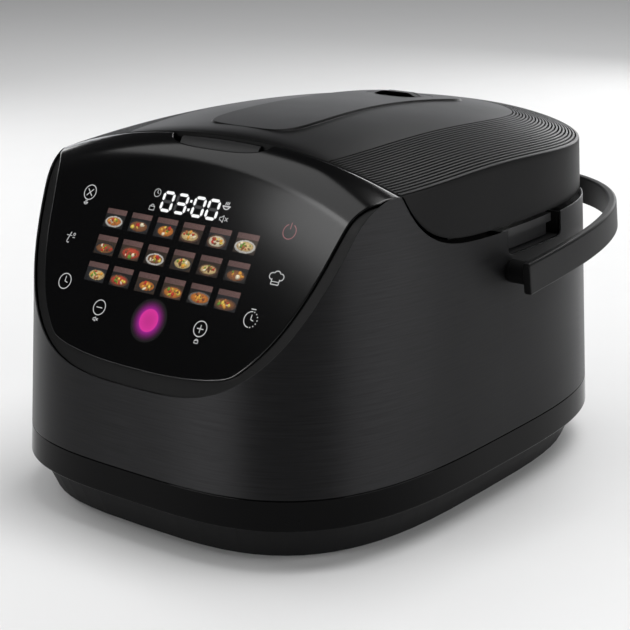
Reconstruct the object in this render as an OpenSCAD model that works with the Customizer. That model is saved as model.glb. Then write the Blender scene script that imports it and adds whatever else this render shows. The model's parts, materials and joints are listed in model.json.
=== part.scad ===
// Countertop multicooker: drafted oval body, sloped glass control panel, domed hinged lid, folding handle.
// Millimetres. The front faces -Y, +Z is up, and the feet stand on Z = 0.

/* [Body] */
// Width of the body at the foot of the housing
body_w = 280; // [264:1:296]
// Depth of the body at the foot of the housing
body_d = 362; // [346:1:378]
// Exponent of the plan outline: 2 is an ellipse, higher is squarer
squareness = 3.3; // [2.8:0.1:3.8]
// Inward lean of the walls in degrees
draft_angle = 3; // [2:0.25:4]
// Height of the base with its feet
base_h = 24; // [22:1:28]
// Height of the glossy band over the base
band_h = 18.5; // [15:0.5:22]
// Height of the lid seam along the sides
seam_h = 166.5; // [162:0.5:171]
// Height of the lid's crown
crown_h = 229; // [225:1:234]
// Radius of the crown across the body
dome_r_side = 390; // [370:5:420]
// Radius of the crown from front to rear
dome_r_long = 865; // [820:5:920]
// Thickness of the metal jacket
jacket_t = 1.5; // [1:0.25:2]

/* [Base] */
// Height of a rubber foot
foot_h = 4; // [3:0.5:6]
// Diameter of a rubber foot
foot_d = 20; // [14:1:26]
// How far the base floor stands in from the housing
base_inset = 12; // [9:1:16]
// Wall of the base pan and of the band
pan_t = 2.5; // [2:0.25:3]
// Width of the ledge inside the band
ledge_w = 8; // [7:0.5:10]
// Thickness of the chassis plate
chassis_t = 1.5; // [1:0.25:2]
// Diameter of a base screw
screw_d = 4; // [3:0.5:5]

/* [Panel] */
// Slope of the glass panel in degrees from level
panel_angle = 59.5; // [57:0.5:62]
// Height at which the panel leaves the front wall
panel_foot_h = 92.4; // [90:0.2:96]
// Radius of the curl at the panel's top edge
panel_curl_r = 40; // [32:1:48]
// Thickness of the glass
glass_t = 3; // [2.5:0.25:4]
// Width of the satin border round the glass
border_w = 9; // [7:0.5:11]
// Width of the border below the glass, along the slope
border_foot = 10.5; // [9:0.5:12]
// How far the border lies below the glass
border_drop = 1.7; // [1.2:0.1:2.2]
// Wall of the panel frame
frame_t = 3; // [2.5:0.25:4]

/* [Lid] */
// Distance of the lid's front edge ahead of the body's middle
lid_front = 93.4; // [90:0.2:97]
// Wall of the lid
lid_t = 2.5; // [2:0.25:3]
// How far the lid stands in from the housing
lid_inset = 1.5; // [1:0.25:2]
// Open seam between lid and housing
seam_gap = 1.2; // [0.8:0.1:1.6]
// How far the seam climbs to the panel's tips
seam_rise = 37; // [34:0.5:40]
// Length over which the seam falls away behind the tips
seam_run = 18; // [16:0.5:20]
// Height of the lid's hinge axis
hinge_h = 180; // [177:0.5:183]
// Distance of the hinge axis behind the rear wall
hinge_out = 5.7; // [5.4:0.1:6.4]
// Diameter of the hinge pin
hinge_pin_d = 5; // [4:0.5:6]
// Outside diameter of a hinge knuckle
knuckle_d = 12; // [10.5:0.5:12]
// Length of the lid's knuckle
knuckle_len = 50; // [40:1:56]
// Diameter of the steam valve
valve_d = 44; // [38:1:48]
// Distance of the steam valve behind the body's middle
valve_y = 86; // [80:1:92]

/* [Bowl] */
// Inside diameter of the bowl
bowl_d = 216; // [206:1:218]
// Wall of the bowl
bowl_t = 2; // [1.5:0.25:2.5]
// Width of the bowl's rim
bowl_rim_w = 7; // [5:0.5:8]
// Corner radius at the bowl's floor
bowl_corner_r = 22; // [16:1:30]
// Distance of the bowl's axis behind the body's middle
bowl_y = 40; // [38:0.5:42]
// Thickness of the heating plate
plate_t = 12; // [10:0.5:14]
// Diameter of the heating plate
plate_d = 172; // [160:1:180]
// Diameter of the sensor's button
sensor_d = 28; // [24:1:32]

/* [Handle] */
// Height of the handle's band
handle_h = 19; // [17:1:21]
// Height of the handle's lower edge
handle_z = 132; // [130:1:134]
// Gap between the housing and the handle's arms
handle_gap = 13.25; // [12:0.25:14.5]
// Gap between the housing and the handle's grip
grip_gap = 17; // [16:0.5:20]
// Thickness of the handle's band
handle_t = 5; // [4:0.5:6]
// How far the folded handle's rear is tilted up, in degrees
handle_tilt = 4.6; // [4:0.2:5.2]
// Height of the handle's pivots
pivot_h = 142; // [140:0.5:143]
// Distance of the pivots behind the body's middle
pivot_y = 10; // [8:0.5:12]
// Diameter of a pivot pin
pivot_d = 8; // [7:0.5:9]

/* [Release button] */
// Width of the release button
button_w = 72; // [64:1:80]
// Depth of the release button at its middle
button_depth = 12; // [10:0.5:14]
// Travel of the release button
button_travel = 3; // [2:0.25:3.5]
// Diameter of the release button's stem
stem_d = 6; // [5:0.5:7]

/* [Hidden] */
$fn = 64;

// Clearances
fit = 0.2;              // between fixed pieces that slide together
run = 0.05;             // radial, round a turning or sliding pin
air = 0.3;              // between pieces that only come close
far = 400;              // beyond the object on every side

// Plan outline and drafted walls
plan_sides = 72;
draft = tan(draft_angle);
housing_z = base_h + band_h;
function half_w(z) = body_w / 2 - draft * (z - housing_z);
function half_d(z) = body_d / 2 - draft * (z - housing_z);
function signed_pow(v, e) = sign(v) * pow(abs(v), e);
function oval(w, d) = [
    for (i = [0 : plan_sides - 1])
        let (t = 360 * i / plan_sides)
            [w * signed_pow(cos(t), 2 / squareness), d * signed_pow(sin(t), 2 / squareness)]
];
// Half width of the plan outline at height z and depth y
function wall_x(y, z) =
    half_w(z) * pow(max(0, 1 - pow(min(1, abs(y) / half_d(z)), squareness)), 1 / squareness);

// The object's box is centred on the origin in plan
handle_reach = half_d(handle_z) + grip_gap + handle_t - pivot_y;
handle_rear = pivot_y + handle_reach * cos(handle_tilt) + (pivot_h - handle_z) * sin(handle_tilt);
middle_y = (handle_rear - half_d(base_h)) / 2;
module placed() {
    translate([0, -middle_y, 0])
        children();
}

// Glass panel: a slope from the front wall that curls over to meet the dome
panel_foot_y = -half_d(panel_foot_h);
slope_dir = [cos(panel_angle), sin(panel_angle)];
dome_c = [0, crown_h - dome_r_long];
foot_from_c = [panel_foot_y, panel_foot_h] - dome_c;
foot_along = foot_from_c * slope_dir;
panel_len = -foot_along + sqrt(pow(foot_along, 2) - foot_from_c * foot_from_c + pow(dome_r_long, 2));
brow_angle = asin(-(panel_foot_y + panel_len * slope_dir.x) / dome_r_long);
// The curl runs along the arc in which the slope meets the dome, and ends a few degrees short of it
turn = panel_angle - brow_angle;
curl_turn = turn - 8;
ridge_r = dome_r_side * (slope_dir.y - slope_dir.x * tan(brow_angle));
ridge_run = panel_curl_r * (1 - cos(curl_turn)) / sin(turn);
rim_r = ridge_r + ridge_run * cos(turn) - panel_curl_r * sin(curl_turn);
curl_start = panel_len - ridge_r + rim_r;
// Height of the skin over the release button, on the dome or on the slope
brow_z = min(
    dome_c.y + sqrt(pow(dome_r_long, 2) - pow(lid_front, 2)),
    panel_foot_h + (-lid_front - button_depth / 2 - panel_foot_y) * tan(panel_angle));
function panel_edge(s) = wall_x(panel_foot_y + s * slope_dir.x, panel_foot_h + s * slope_dir.y);
// Glass half width up the slope: inside the wall's edge by the border, flared out to the panel's tips
flare_s = curl_start - 3;
flare_run = 7.5;
foot_round = 10;
function foot_taper(s) =
    pow(1 - pow(max(0, border_foot + foot_round - s) / foot_round, 2.5), 1 / 2.5);
function glass_half(s) =
    min(body_w / 2, panel_edge(s) - border_w + border_w * exp((s - flare_s) / flare_run)) * foot_taper(s);
glass_steps = 30;
glass_top = panel_len + 12;
frame_z = panel_foot_h - 7;
panel_rear = lid_front + seam_gap / 2;   // rear face of the panel frame, ahead of the middle

// Lid seam: falls from the panel's tips to the level of the sides
function seam_at(y) = seam_h + seam_rise * exp(-(y + lid_front) / seam_run);
seam_steps = 14;
seam_len = 5 * seam_run;
function seam_line(lift) = [
    for (i = [0 : seam_steps])
        let (y = seam_len * i / seam_steps - lid_front)
            [y, seam_at(y) + lift]
];

// Heights inside the body
pan_floor = foot_h + pan_t;
chassis_z = base_h + pan_t;
chassis_top = chassis_z + chassis_t;
leg_h = 6;
plate_z = chassis_top + leg_h;
bowl_z = plate_z + plate_t;
deck_t = 3;
deck_top = seam_h - 3.5;
can_t = 1;
// the heat shield stands off the bowl, closer in a narrow body, and the ladle socket takes the rest
can_gap = 8;
can_share = 0.42;
side_space = half_w(seam_h) - jacket_t - bowl_d / 2 - bowl_t;
can_room = min(can_gap, can_share * side_space);
can_r = bowl_d / 2 + bowl_t + can_room;
bowl_rim_z = deck_top + air;
bowl_top = bowl_rim_z + bowl_t;
bowl_rim_r = bowl_d / 2 + bowl_t + bowl_rim_w;
gasket_z = bowl_top + air;
gasket_h = 5.5;
lid_plate_z = gasket_z + gasket_h;
lid_plate_t = 3;
inner_lid_r = bowl_d / 2 - 3.5;
inner_lid_t = 1.5;
inner_lid_z = gasket_z + 2;
clip_w = 20;
clip_deep = 6;
clip_in = 14;           // its middle, in from the inner lid's edge

// Fasteners
post_side = 46;         // in from the body's side
post_end = 60;          // in from the body's ends
base_posts = [for (end = [-1, 1]) [body_w / 2 - post_side, end * (body_d / 2 - post_end)]];
foot_side = 66;
foot_end = 53;
foot_at = [for (end = [-1, 1]) [body_w / 2 - foot_side, end * (body_d / 2 - foot_end)]];
post_d = screw_d + 5;
head_d = 2 * screw_d;
head_h = 2;
lid_post_r = 80;
lid_post_angles = [45, 135, 225, 315];
lid_post_d = 12;
lid_screw_d = 3;
lid_screw_len = 16;
lid_head_h = 1.5;

// Power board in the base
power_size = [116, 58, 1.6];
power_end = 56;         // its middle, in from the body's front end
power_y = power_end - body_d / 2;
power_lift = 3.5;
power_post_d = 6;
power_in = 8;           // its posts, in from its edges
power_posts = [for (side = [-1, 1])
    [power_size.x / 2 - power_in, power_y + side * (power_size.y / 2 - power_in)]];
power_cut = [power_size.x + 4, power_size.y - 8];
transformer = [30, 26, 17];
relay = [20, 16, 15];
capacitor_d = 10;
capacitor_h = 14;

// Control board behind the glass
touch_size = [124, 72, 1.6];
touch_foot = 18;        // its lower edge, up the slope
touch_depth = 12;       // its outer face, below the glass
touch_in = 6;           // its posts, in from its edges
touch_post_d = 7;
display_in = 14;
display_h = 5;
window_room = 2;
touch_posts = [for (s = [touch_foot + touch_in, touch_foot + touch_size.y - touch_in])
    [touch_size.x / 2 - touch_in, s]];
display_size = [touch_size.x - 2 * display_in, touch_size.y - display_in, display_h];
window_size = [display_size.x + 2 * window_room, display_size.y + 2 * window_room];

// Hinge
hinge_y = half_d(hinge_h) + hinge_out;
ear_len = 18;
side_gap = 0.5;

// Sensor
sensor_cap_h = 5;
sensor_stem_d = 8;
bracket_h = 10;
stem_out = 4;
sensor_floor = 1.5;
sensor_wall = 3;
sensor_well_d = sensor_d + 2;

// Release button and latch
button_rear = panel_rear + fit;
button_r = (pow(button_w / 2, 2) + pow(button_depth, 2)) / (2 * button_depth);
button_drop = 1.4;
button_end = 6.5;                        // open tip of the crescent at each end
scoop_r = 10;
scoop_lip = 0.8;
spring_t = 0.8;
spring_in = 0.6;
spring_r = stem_d / 2 + spring_in + spring_t;
stem_y = -panel_rear - frame_t - spring_r - air;
works_h = brow_z - lid_plate_z;         // room for the release's works
shelf_z = brow_z - 0.6245 * works_h;
button_z = brow_z - 0.4069 * works_h;   // underside of the button
button_room = 2.5;
well_z = button_z - button_travel - button_room;   // floor of the button's well
shelf_t = 2.5;
shelf_front = stem_y - 12.5;
shelf_w = button_w - 8;
latch_pin_d = 4;
latch_y = stem_y - 10.5;
latch_z = brow_z - 0.8327 * works_h;
latch_w = 14;
latch_arm_t = 4;
latch_arm_rise = 2.7;
nose_drop = 0.1514 * works_h;
nose_t = 5;
nose_tip = -lid_front + seam_gap + 0.8;

// Ladle socket on the right side
socket_y = 7;
socket_len = 66.4;
socket_round = 4;
socket_h = 15;
socket_z = seam_h - socket_h;
socket_wall = 2;
socket_clear = 1;
hook_plate_lift = 1;
hook_plate_short = 8;
hook_bar_h = 6;
hook_bar_short = 5;
socket_deep = side_space - can_room - can_t - socket_wall - socket_clear;

// Mains inlet at the rear
inlet_z = 66;
inlet_size = [48, 16, 28];
inlet_mouth = [25, 13, 17];

// Carry handle
handle_top = handle_z + handle_h;
pivot_margin = 9;
handle_front = pivot_y - pivot_margin;
collar_d = pivot_d + 6;
pivot_deep = 4;
pivot_head_d = pivot_d + 3;
pivot_head_t = 2;

// Shared shapes
module extrude_x(width = 2 * far) {
    rotate([90, 0, 90])
        translate([0, 0, -width / 2])
            linear_extrude(height = width)
                children();
}

// Block with the plan outline and the walls' lean, grown by out sideways and out_y in depth
module body_block(z0, z1, out = 0, out_y = undef) {
    grow_y = is_undef(out_y) ? out : out_y;
    w0 = half_w(z0) + out;
    d0 = half_d(z0) + grow_y;
    w1 = half_w(z1) + out;
    d1 = half_d(z1) + grow_y;
    translate([0, 0, z0])
        linear_extrude(height = z1 - z0, scale = [w1 / w0, d1 / d0], slices = 1)
            polygon(oval(w0, d0));
}

// Space under the crown
dome_fn = 720;
dome_sweep = 40;
module under_dome(out = 0) {
    translate([0, 0, crown_h - dome_r_long])
        rotate([0, -90, 0])
            rotate([0, 0, -dome_sweep / 2])
                rotate_extrude(angle = dome_sweep, $fn = dome_fn)
                    intersection() {
                        translate([dome_r_long - dome_r_side, 0])
                            circle(r = dome_r_side + out, $fn = dome_fn);
                        translate([dome_r_long - 1.2 * crown_h, -0.75 * body_w])
                            square([1.5 * crown_h, 1.5 * body_w]);
                    }
}

// Space behind the panel's slope and under its curl
module behind_panel(out = 0) {
    r = panel_curl_r + out;
    c = [rim_r, -panel_curl_r];
    curl_on = c + [0, r];
    curl_off = c + r * [sin(curl_turn), cos(curl_turn)];
    corner = curl_on + [r * tan(curl_turn / 2), 0];
    line_end = curl_off + far * [cos(curl_turn), -sin(curl_turn)];
    on_panel()
        translate([0, panel_len - ridge_r, 0])
            rotate_extrude($fn = dome_fn)
                difference() {
                    polygon([[0, -far], [0, out], corner, line_end, [line_end.x, -far]]);
                    difference() {
                        polygon([curl_on, 2 * curl_on - c, 2 * corner - c, 2 * curl_off - c, curl_off]);
                        translate(c)
                            circle(r = r, $fn = dome_fn);
                    }
                }
}

module under_skin(out = 0) {
    intersection() {
        under_dome(out);
        behind_panel(out);
    }
}

module under_seam(drop = 0) {
    extrude_x()
        polygon(concat(
            [[-far, -far], [-far, far], [-lid_front, far]],
            seam_line(-drop),
            [[far, seam_h - drop], [far, -far]]));
}

module over_seam(lift) {
    extrude_x()
        polygon(concat(
            [[lift - lid_front, far]],
            [for (p = seam_line(lift)) p + [lift, 0]],
            [[far, seam_h + lift], [far, far]]));
}

// Everything between two depths, y0 in front
module slab_y(y0, y1, z0 = -far) {
    translate([-far, y0, z0])
        cube([2 * far, y1 - y0, 2 * far]);
}

// Frame on the panel's slope: X across, Y up the slope, Z out of the glass
module on_panel() {
    translate([0, panel_foot_y, panel_foot_h])
        rotate([panel_angle, 0, 0])
            children();
}

module glass_outline(grow = 0) {
    rows = [for (i = [1 : glass_steps]) border_foot + (glass_top - border_foot) * pow(i / glass_steps, 1.6)];
    right = [for (s = rows) [glass_half(s) + grow, s]];
    left = [for (i = [glass_steps - 1 : -1 : 0]) [-right[i].x, rows[i]]];
    on_panel()
        translate([0, 0, -far / 4])
            linear_extrude(height = far / 2)
                polygon(concat([[0, border_foot - grow]], right, left));
}

// Upright prism with the release button's crescent plan
module button_prism(grow = 0) {
    intersection() {
        translate([0, -button_rear - button_depth + button_r, 0])
            cylinder(r = button_r + grow, h = far);
        slab_y(-far, -button_rear + grow);
    }
}

module at_bowl() {
    translate([0, bowl_y, 0])
        children();
}

module at_posts(points) {
    for (p = points, side = [-1, 1])
        translate([side * p.x, p.y, 0])
            children();
}

module at_lid_posts() {
    at_bowl()
        for (a = lid_post_angles)
            rotate([0, 0, a])
                translate([lid_post_r, 0, 0])
                    children();
}

module tube(r_out, r_in, z0, z1) {
    translate([0, 0, z0])
        difference() {
            cylinder(r = r_out, h = z1 - z0);
            translate([0, 0, -1])
                cylinder(r = r_in, h = z1 - z0 + 2);
        }
}

module rod_x(d, x0, x1) {
    translate([x0, 0, 0])
        rotate([0, 90, 0])
            cylinder(d = d, h = x1 - x0);
}

// Base
module rubber_feet() {
    color("black")
        at_posts(foot_at)
            difference() {
                cylinder(d = foot_d, h = foot_h);
                translate([0, 0, -1])
                    cylinder(d = foot_d / 2, h = 2);
            }
}

module pan_block(inset, z0, z1) {
    rise = (base_inset - ledge_w / 2) / (base_h - foot_h);
    w = body_w / 2 - inset;
    d = body_d / 2 - inset;
    w0 = w - base_inset + rise * (z0 - foot_h);
    d0 = d - base_inset + rise * (z0 - foot_h);
    w1 = w - base_inset + rise * (z1 - foot_h);
    d1 = d - base_inset + rise * (z1 - foot_h);
    translate([0, 0, z0])
        linear_extrude(height = z1 - z0, scale = [w1 / w0, d1 / d0], slices = 1)
            polygon(oval(w0, d0));
}

module base_pan() {
    vent_len = 46;
    color([0.07, 0.07, 0.075])
        difference() {
            union() {
                difference() {
                    pan_block(0, foot_h, base_h);
                    pan_block(pan_t, pan_floor, base_h + 1);
                }
                at_posts(base_posts)
                    translate([0, 0, foot_h])
                        cylinder(d = post_d, h = chassis_z - foot_h);
                at_posts(power_posts)
                    translate([0, 0, pan_floor - pan_t / 2])
                        cylinder(d = power_post_d, h = power_lift + pan_t / 2);
            }
            at_posts(base_posts) {
                cylinder(d = screw_d + 2 * run, h = far);
                cylinder(d = head_d + 2 * fit, h = foot_h + head_h / 2);
            }
            for (i = [-3 : 3])
                translate([i * 14 - 2, bowl_y - vent_len / 2, 0])
                    cube([4, vent_len, pan_floor + 1]);
        }
}

module base_screws() {
    color("silver")
        at_posts(base_posts) {
            translate([0, 0, foot_h - head_h / 2])
                cylinder(d = head_d, h = head_h);
            translate([0, 0, foot_h])
                cylinder(d = screw_d, h = chassis_top + 3 - foot_h);
        }
}

module base_band() {
    color([0.02, 0.02, 0.022])
        difference() {
            body_block(base_h, housing_z, 0);
            body_block(base_h + pan_t, housing_z + 1, -pan_t);
            body_block(base_h - 1, base_h + pan_t + 1, -ledge_w);
        }
}

module chassis_plate() {
    color("gainsboro")
        difference() {
            body_block(chassis_z, chassis_top, -pan_t - fit);
            at_posts(base_posts)
                translate([0, 0, chassis_z - 1])
                    cylinder(d = screw_d + 2 * run, h = chassis_t + 2);
            at_bowl()
                translate([0, 0, chassis_z - 1])
                    cylinder(d = plate_d * 0.6, h = chassis_t + 2);
            translate([-power_cut.x / 2, power_y - power_cut.y / 2, chassis_z - 1])
                cube([power_cut.x, power_cut.y, chassis_t + 2]);
        }
}

module power_board() {
    color("seagreen")
        translate([-power_size.x / 2, power_y - power_size.y / 2, pan_floor + power_lift])
            union() {
                cube(power_size);
                translate([power_size.x / 10, power_size.y / 4, 0])
                    cube(transformer);
                translate([power_size.x / 2, power_size.y / 6, 0])
                    cube(relay);
                for (x = [0.65, 0.8])
                    translate([x * power_size.x, power_size.y * 0.7, 0])
                        cylinder(d = capacitor_d, h = capacitor_h);
            }
}

// Heater and bowl
module plate_legs() {
    color("silver")
        at_bowl()
            for (a = [90, 210, 330])
                rotate([0, 0, a])
                    translate([plate_d * 0.6 / 2 + 14, 0, chassis_top])
                        cylinder(d = 9, h = leg_h);
}

module heating_plate() {
    color("lightgray")
        at_bowl()
            difference() {
                translate([0, 0, plate_z])
                    cylinder(d = plate_d, h = plate_t);
                translate([0, 0, plate_z - 1])
                    cylinder(d = sensor_well_d, h = plate_t + 2);
                tube(plate_d * 0.36, plate_d * 0.3, bowl_z - 1, bowl_z + 1);
            }
}

module sensor_bracket() {
    bracket_z = plate_z - bracket_h;
    color("silver")
        at_bowl()
            difference() {
                translate([0, 0, bracket_z])
                    cylinder(r = sensor_well_d / 2 + sensor_wall, h = plate_z - bracket_z);
                translate([0, 0, bracket_z + sensor_floor])
                    cylinder(d = sensor_well_d, h = far);
                translate([0, 0, bracket_z - 1])
                    cylinder(d = sensor_stem_d + 2 * run, h = far);
            }
}

module temperature_sensor() {
    color("silver")
        at_bowl() {
            translate([0, 0, bowl_z - sensor_cap_h])
                cylinder(d = sensor_d, h = sensor_cap_h);
            translate([0, 0, plate_z - bracket_h - stem_out])
                cylinder(d = sensor_stem_d, h = plate_t + bracket_h + stem_out - sensor_cap_h / 2);
        }
}

module sensor_spring() {
    color("gray")
        at_bowl()
            tube(sensor_stem_d / 2 + 3, sensor_stem_d / 2 + 1.2,
                 plate_z - bracket_h + sensor_floor, bowl_z - sensor_cap_h);
}

module inner_can() {
    color("gainsboro")
        at_bowl()
            tube(can_r + can_t, can_r, chassis_top, deck_top - deck_t);
}

module bowl_section(r, z0, z1, corner) {
    translate([0, z0])
        square([r - corner, z1 - z0]);
    translate([0, z0 + corner])
        square([r, z1 - z0 - corner]);
    translate([r - corner, z0 + corner])
        circle(r = corner);
}

module cooking_bowl() {
    r_out = bowl_d / 2 + bowl_t;
    color([0.2, 0.2, 0.21])
        at_bowl()
            rotate_extrude()
                difference() {
                    union() {
                        intersection() {
                            bowl_section(r_out, bowl_z, bowl_top, bowl_corner_r + bowl_t);
                            square([far, far]);
                        }
                        translate([r_out - bowl_t, bowl_rim_z])
                            square([bowl_rim_w + bowl_t, bowl_t]);
                    }
                    intersection() {
                        bowl_section(bowl_d / 2, bowl_z + bowl_t, bowl_top + bowl_corner_r, bowl_corner_r);
                        square([far, far]);
                    }
                }
}

// Housing
module right_side(y0, y1) {
    translate([0, y0, 0])
        cube([far, y1 - y0, far]);
}

module housing() {
    color([0.22, 0.22, 0.23])
        difference() {
            intersection() {
                body_block(housing_z, seam_h + seam_rise + 12, 0);
                under_skin(0);
                under_seam(0);
            }
            body_block(housing_z - 1, seam_h + seam_rise + 13, -jacket_t);
            socket_notch();
            translate([0, pivot_y, pivot_h])
                rod_x(pivot_d + 2 * fit, -far, far);
            translate([-inlet_size.x / 2 - fit, 0, inlet_z - inlet_size.z / 2 - fit])
                cube([inlet_size.x + 2 * fit, far, inlet_size.z + 2 * fit]);
        }
}

// Opening of the ladle socket, round at its lower corners
module socket_notch() {
    translate([half_w(seam_h) - 8, socket_y, socket_z]) {
        translate([0, 0, socket_round])
            cube([far, socket_len, far]);
        translate([0, socket_round, 0])
            cube([far, socket_len - 2 * socket_round, far]);
        for (y = [socket_round, socket_len - socket_round])
            translate([0, y, socket_round])
                rod_x(2 * socket_round, 0, far);
    }
}

module ladle_socket() {
    color([0.16, 0.16, 0.165])
        difference() {
            intersection() {
                body_block(socket_z - socket_wall, seam_h - 1, -jacket_t - fit);
                right_side(socket_y - socket_wall, socket_y + socket_len + socket_wall);
                difference() {
                    cube([far, far, far]);
                    body_block(0, far, -jacket_t - socket_deep - socket_wall);
                }
            }
            difference() {
                intersection() {
                    right_side(socket_y, socket_y + socket_len);
                    body_block(socket_z, seam_h, 0);
                }
                body_block(0, far, -jacket_t - socket_deep);
                // the hook bar and its plate stand inside, clear of the rear end
                intersection() {
                    right_side(socket_y - 1, socket_y + socket_len - hook_plate_short);
                    translate([0, 0, socket_z + hook_plate_lift])
                        cube([far, far, far]);
                    body_block(0, far, -jacket_t - 0.5 * socket_deep);
                }
                intersection() {
                    right_side(socket_y - 1, socket_y + socket_len - hook_bar_short);
                    translate([0, 0, seam_h - hook_bar_h])
                        cube([far, far, far]);
                    body_block(0, far, -jacket_t - 0.3 * socket_deep);
                }
            }
        }
}

module at_inlet() {
    translate([0, half_d(inlet_z), inlet_z])
        rotate([draft_angle, 0, 0])
            children();
}

module mains_inlet() {
    flange = 4;
    flange_t = 2;
    plate = inlet_size + [2 * flange, 0, 2 * flange];
    color("black")
        at_inlet()
            difference() {
                union() {
                    translate([-inlet_size.x / 2, air - inlet_size.y, -inlet_size.z / 2])
                        cube(inlet_size + [0, flange_t / 2, 0]);
                    translate([-plate.x / 2, air, -plate.z / 2])
                        cube([plate.x, flange_t, plate.z]);
                }
                translate([-inlet_mouth.x / 2, air + flange_t - inlet_mouth.y, -inlet_mouth.z / 2])
                    cube(inlet_mouth + [0, 1, 0]);
            }
}

module inlet_pins() {
    pin = [2, 9, 4];
    color("silver")
        at_inlet()
            for (p = [[-7, -2], [0, 2], [7, -2]])
                translate([p.x - pin.x / 2, air + 2 - inlet_mouth.y, p.y - pin.z / 2])
                    cube(pin);
}

module top_deck() {
    color([0.1, 0.1, 0.105])
        difference() {
            intersection() {
                body_block(deck_top - deck_t, deck_top, -jacket_t - fit);
                slab_y(-panel_rear + fit, far);
            }
            at_bowl()
                cylinder(r = bowl_d / 2 + bowl_t + 1.5, h = far);
            intersection() {
                right_side(socket_y - socket_wall - fit, socket_y + socket_len + socket_wall + fit);
                difference() {
                    cube([far, far, far]);
                    body_block(0, far, -jacket_t - socket_deep - socket_wall - fit);
                }
            }
            at_bowl()
                tube(can_r + can_t + fit, can_r - fit, deck_top - deck_t - 1, deck_top - deck_t + 0.5);
        }
}

// Control panel
module panel_frame() {
    inner = -jacket_t - fit - frame_t;
    color([0.05, 0.05, 0.055]) {
        difference() {
            intersection() {
                body_block(frame_z, crown_h + 2, -jacket_t - fit);
                under_skin(-border_drop);
                under_seam(1);
                union() {
                    slab_y(-far, -panel_rear);
                    slab_y(-panel_rear - 1, -panel_rear + seam_len / 2, deck_top + fit);
                }
            }
            intersection() {
                body_block(frame_z - 1, crown_h + 3, inner);
                under_skin(-border_drop - frame_t - 2);
                slab_y(-far, -panel_rear - frame_t);
            }
            intersection() {
                body_block(frame_z - 1, crown_h + 3, inner);
                slab_y(-panel_rear, far);
            }
            difference() {
                glass_outline(fit);
                under_skin(-glass_t - fit);
            }
            on_panel()
                translate([-window_size.x / 2, touch_foot + display_in - window_room, -2 * touch_depth])
                    cube([window_size.x, window_size.y, 2 * touch_depth]);
            translate([0, 0, well_z])
                button_prism(fit * 2);
            translate([-latch_w / 2 - 2, -panel_rear - frame_t - 1, latch_z - nose_drop - 9])
                cube([latch_w + 4, frame_t + 2, nose_t + 12]);
        }
        // shelf that guides the button's stem, with the latch's ears
        difference() {
            union() {
                translate([-shelf_w / 2, shelf_front, shelf_z])
                    cube([shelf_w, -panel_rear - frame_t + 0.5 - shelf_front, shelf_t]);
                for (side = [-1, 1])
                    translate([side * (latch_w / 2 + 2.5) - 1.5, latch_y - 4, latch_z - 4.5])
                        cube([3, 8.5, shelf_z - latch_z + 5]);
            }
            translate([0, stem_y, 0])
                cylinder(d = stem_d + 2 * run, h = far);
            translate([0, latch_y, latch_z])
                rod_x(latch_pin_d + 2 * run, -far, far);
        }
        // posts that carry the control board
        on_panel()
            at_posts(touch_posts)
                translate([0, 0, -touch_depth])
                    cylinder(d = touch_post_d, h = touch_depth - border_drop - frame_t - 1);
    }
}

module control_panel() {
    color([0.015, 0.015, 0.018])
        difference() {
            intersection() {
                body_block(frame_z, crown_h + 2, -jacket_t - fit);
                under_skin(0);
                glass_outline();
                slab_y(-far, -panel_rear);
            }
            under_skin(-glass_t);
            translate([0, 0, well_z])
                button_prism(fit * 2);
        }
}

module control_board() {
    color("seagreen")
        on_panel() {
            translate([-touch_size.x / 2, touch_foot, -touch_depth - touch_size.z])
                cube(touch_size);
            translate([-display_size.x / 2, touch_foot + display_in, -touch_depth - touch_size.z / 2])
                cube(display_size);
        }
}

// Lid release
module release_button() {
    color([0.2, 0.2, 0.21]) {
        intersection() {
            button_prism(0);
            under_skin(-button_drop);
            difference() {
                translate([-button_w / 2 + button_end, -far, button_z])
                    cube([button_w - 2 * button_end, far - button_rear, far]);
                translate([0, -button_rear - scoop_lip - scoop_r, brow_z - 1])
                    rod_x(2 * scoop_r, -far, far);
            }
        }
        translate([0, stem_y, latch_z + latch_arm_rise + air])
            cylinder(d = stem_d, h = button_z + 1 - latch_z - latch_arm_rise - air);
    }
}

module button_spring() {
    color("gray")
        translate([0, stem_y, 0])
            tube(spring_r, spring_r - spring_t, shelf_z + shelf_t, button_z);
}

module latch_hook() {
    color("gray")
        difference() {
            translate([0, latch_y, latch_z]) {
                rod_x(9, -latch_w / 2, latch_w / 2);
                translate([-latch_w / 2, 0, -latch_arm_rise / 2])
                    cube([latch_w, stem_y + stem_d / 2 - latch_y, latch_arm_rise * 1.5]);
                translate([-latch_w / 2, -latch_arm_t / 2, -nose_drop])
                    cube([latch_w, latch_arm_t, nose_drop]);
                translate([-latch_w / 2, -latch_arm_t / 2, -nose_drop])
                    cube([latch_w, nose_tip - latch_y + latch_arm_t / 2, nose_t]);
            }
            translate([0, latch_y, latch_z])
                rod_x(latch_pin_d + 2 * run, -far, far);
        }
}

module latch_pin() {
    color("silver")
        translate([0, latch_y, latch_z])
            rod_x(latch_pin_d, -latch_w / 2 - 5, latch_w / 2 + 5);
}

// Carry handle
module handle_pivots() {
    wall = half_w(pivot_h);
    wall_high = half_w(pivot_h + collar_d / 2);
    wall_low = half_w(pivot_h - collar_d / 2);
    color("dimgray")
        for (side = [0, 1])
            mirror([side, 0, 0])
                translate([0, pivot_y, pivot_h]) {
                    rod_x(pivot_d, wall - pivot_deep, wall + handle_gap + handle_t - 2 * air);
                    rod_x(pivot_head_d, wall - pivot_deep - pivot_head_t, wall - pivot_deep);
                    rod_x(collar_d, wall_low + air, wall_high + handle_gap - air);
                }
}

module tilted() {
    translate([0, pivot_y, pivot_h])
        rotate([handle_tilt, 0, 0])
            translate([0, -pivot_y, -pivot_h])
                children();
}

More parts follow.
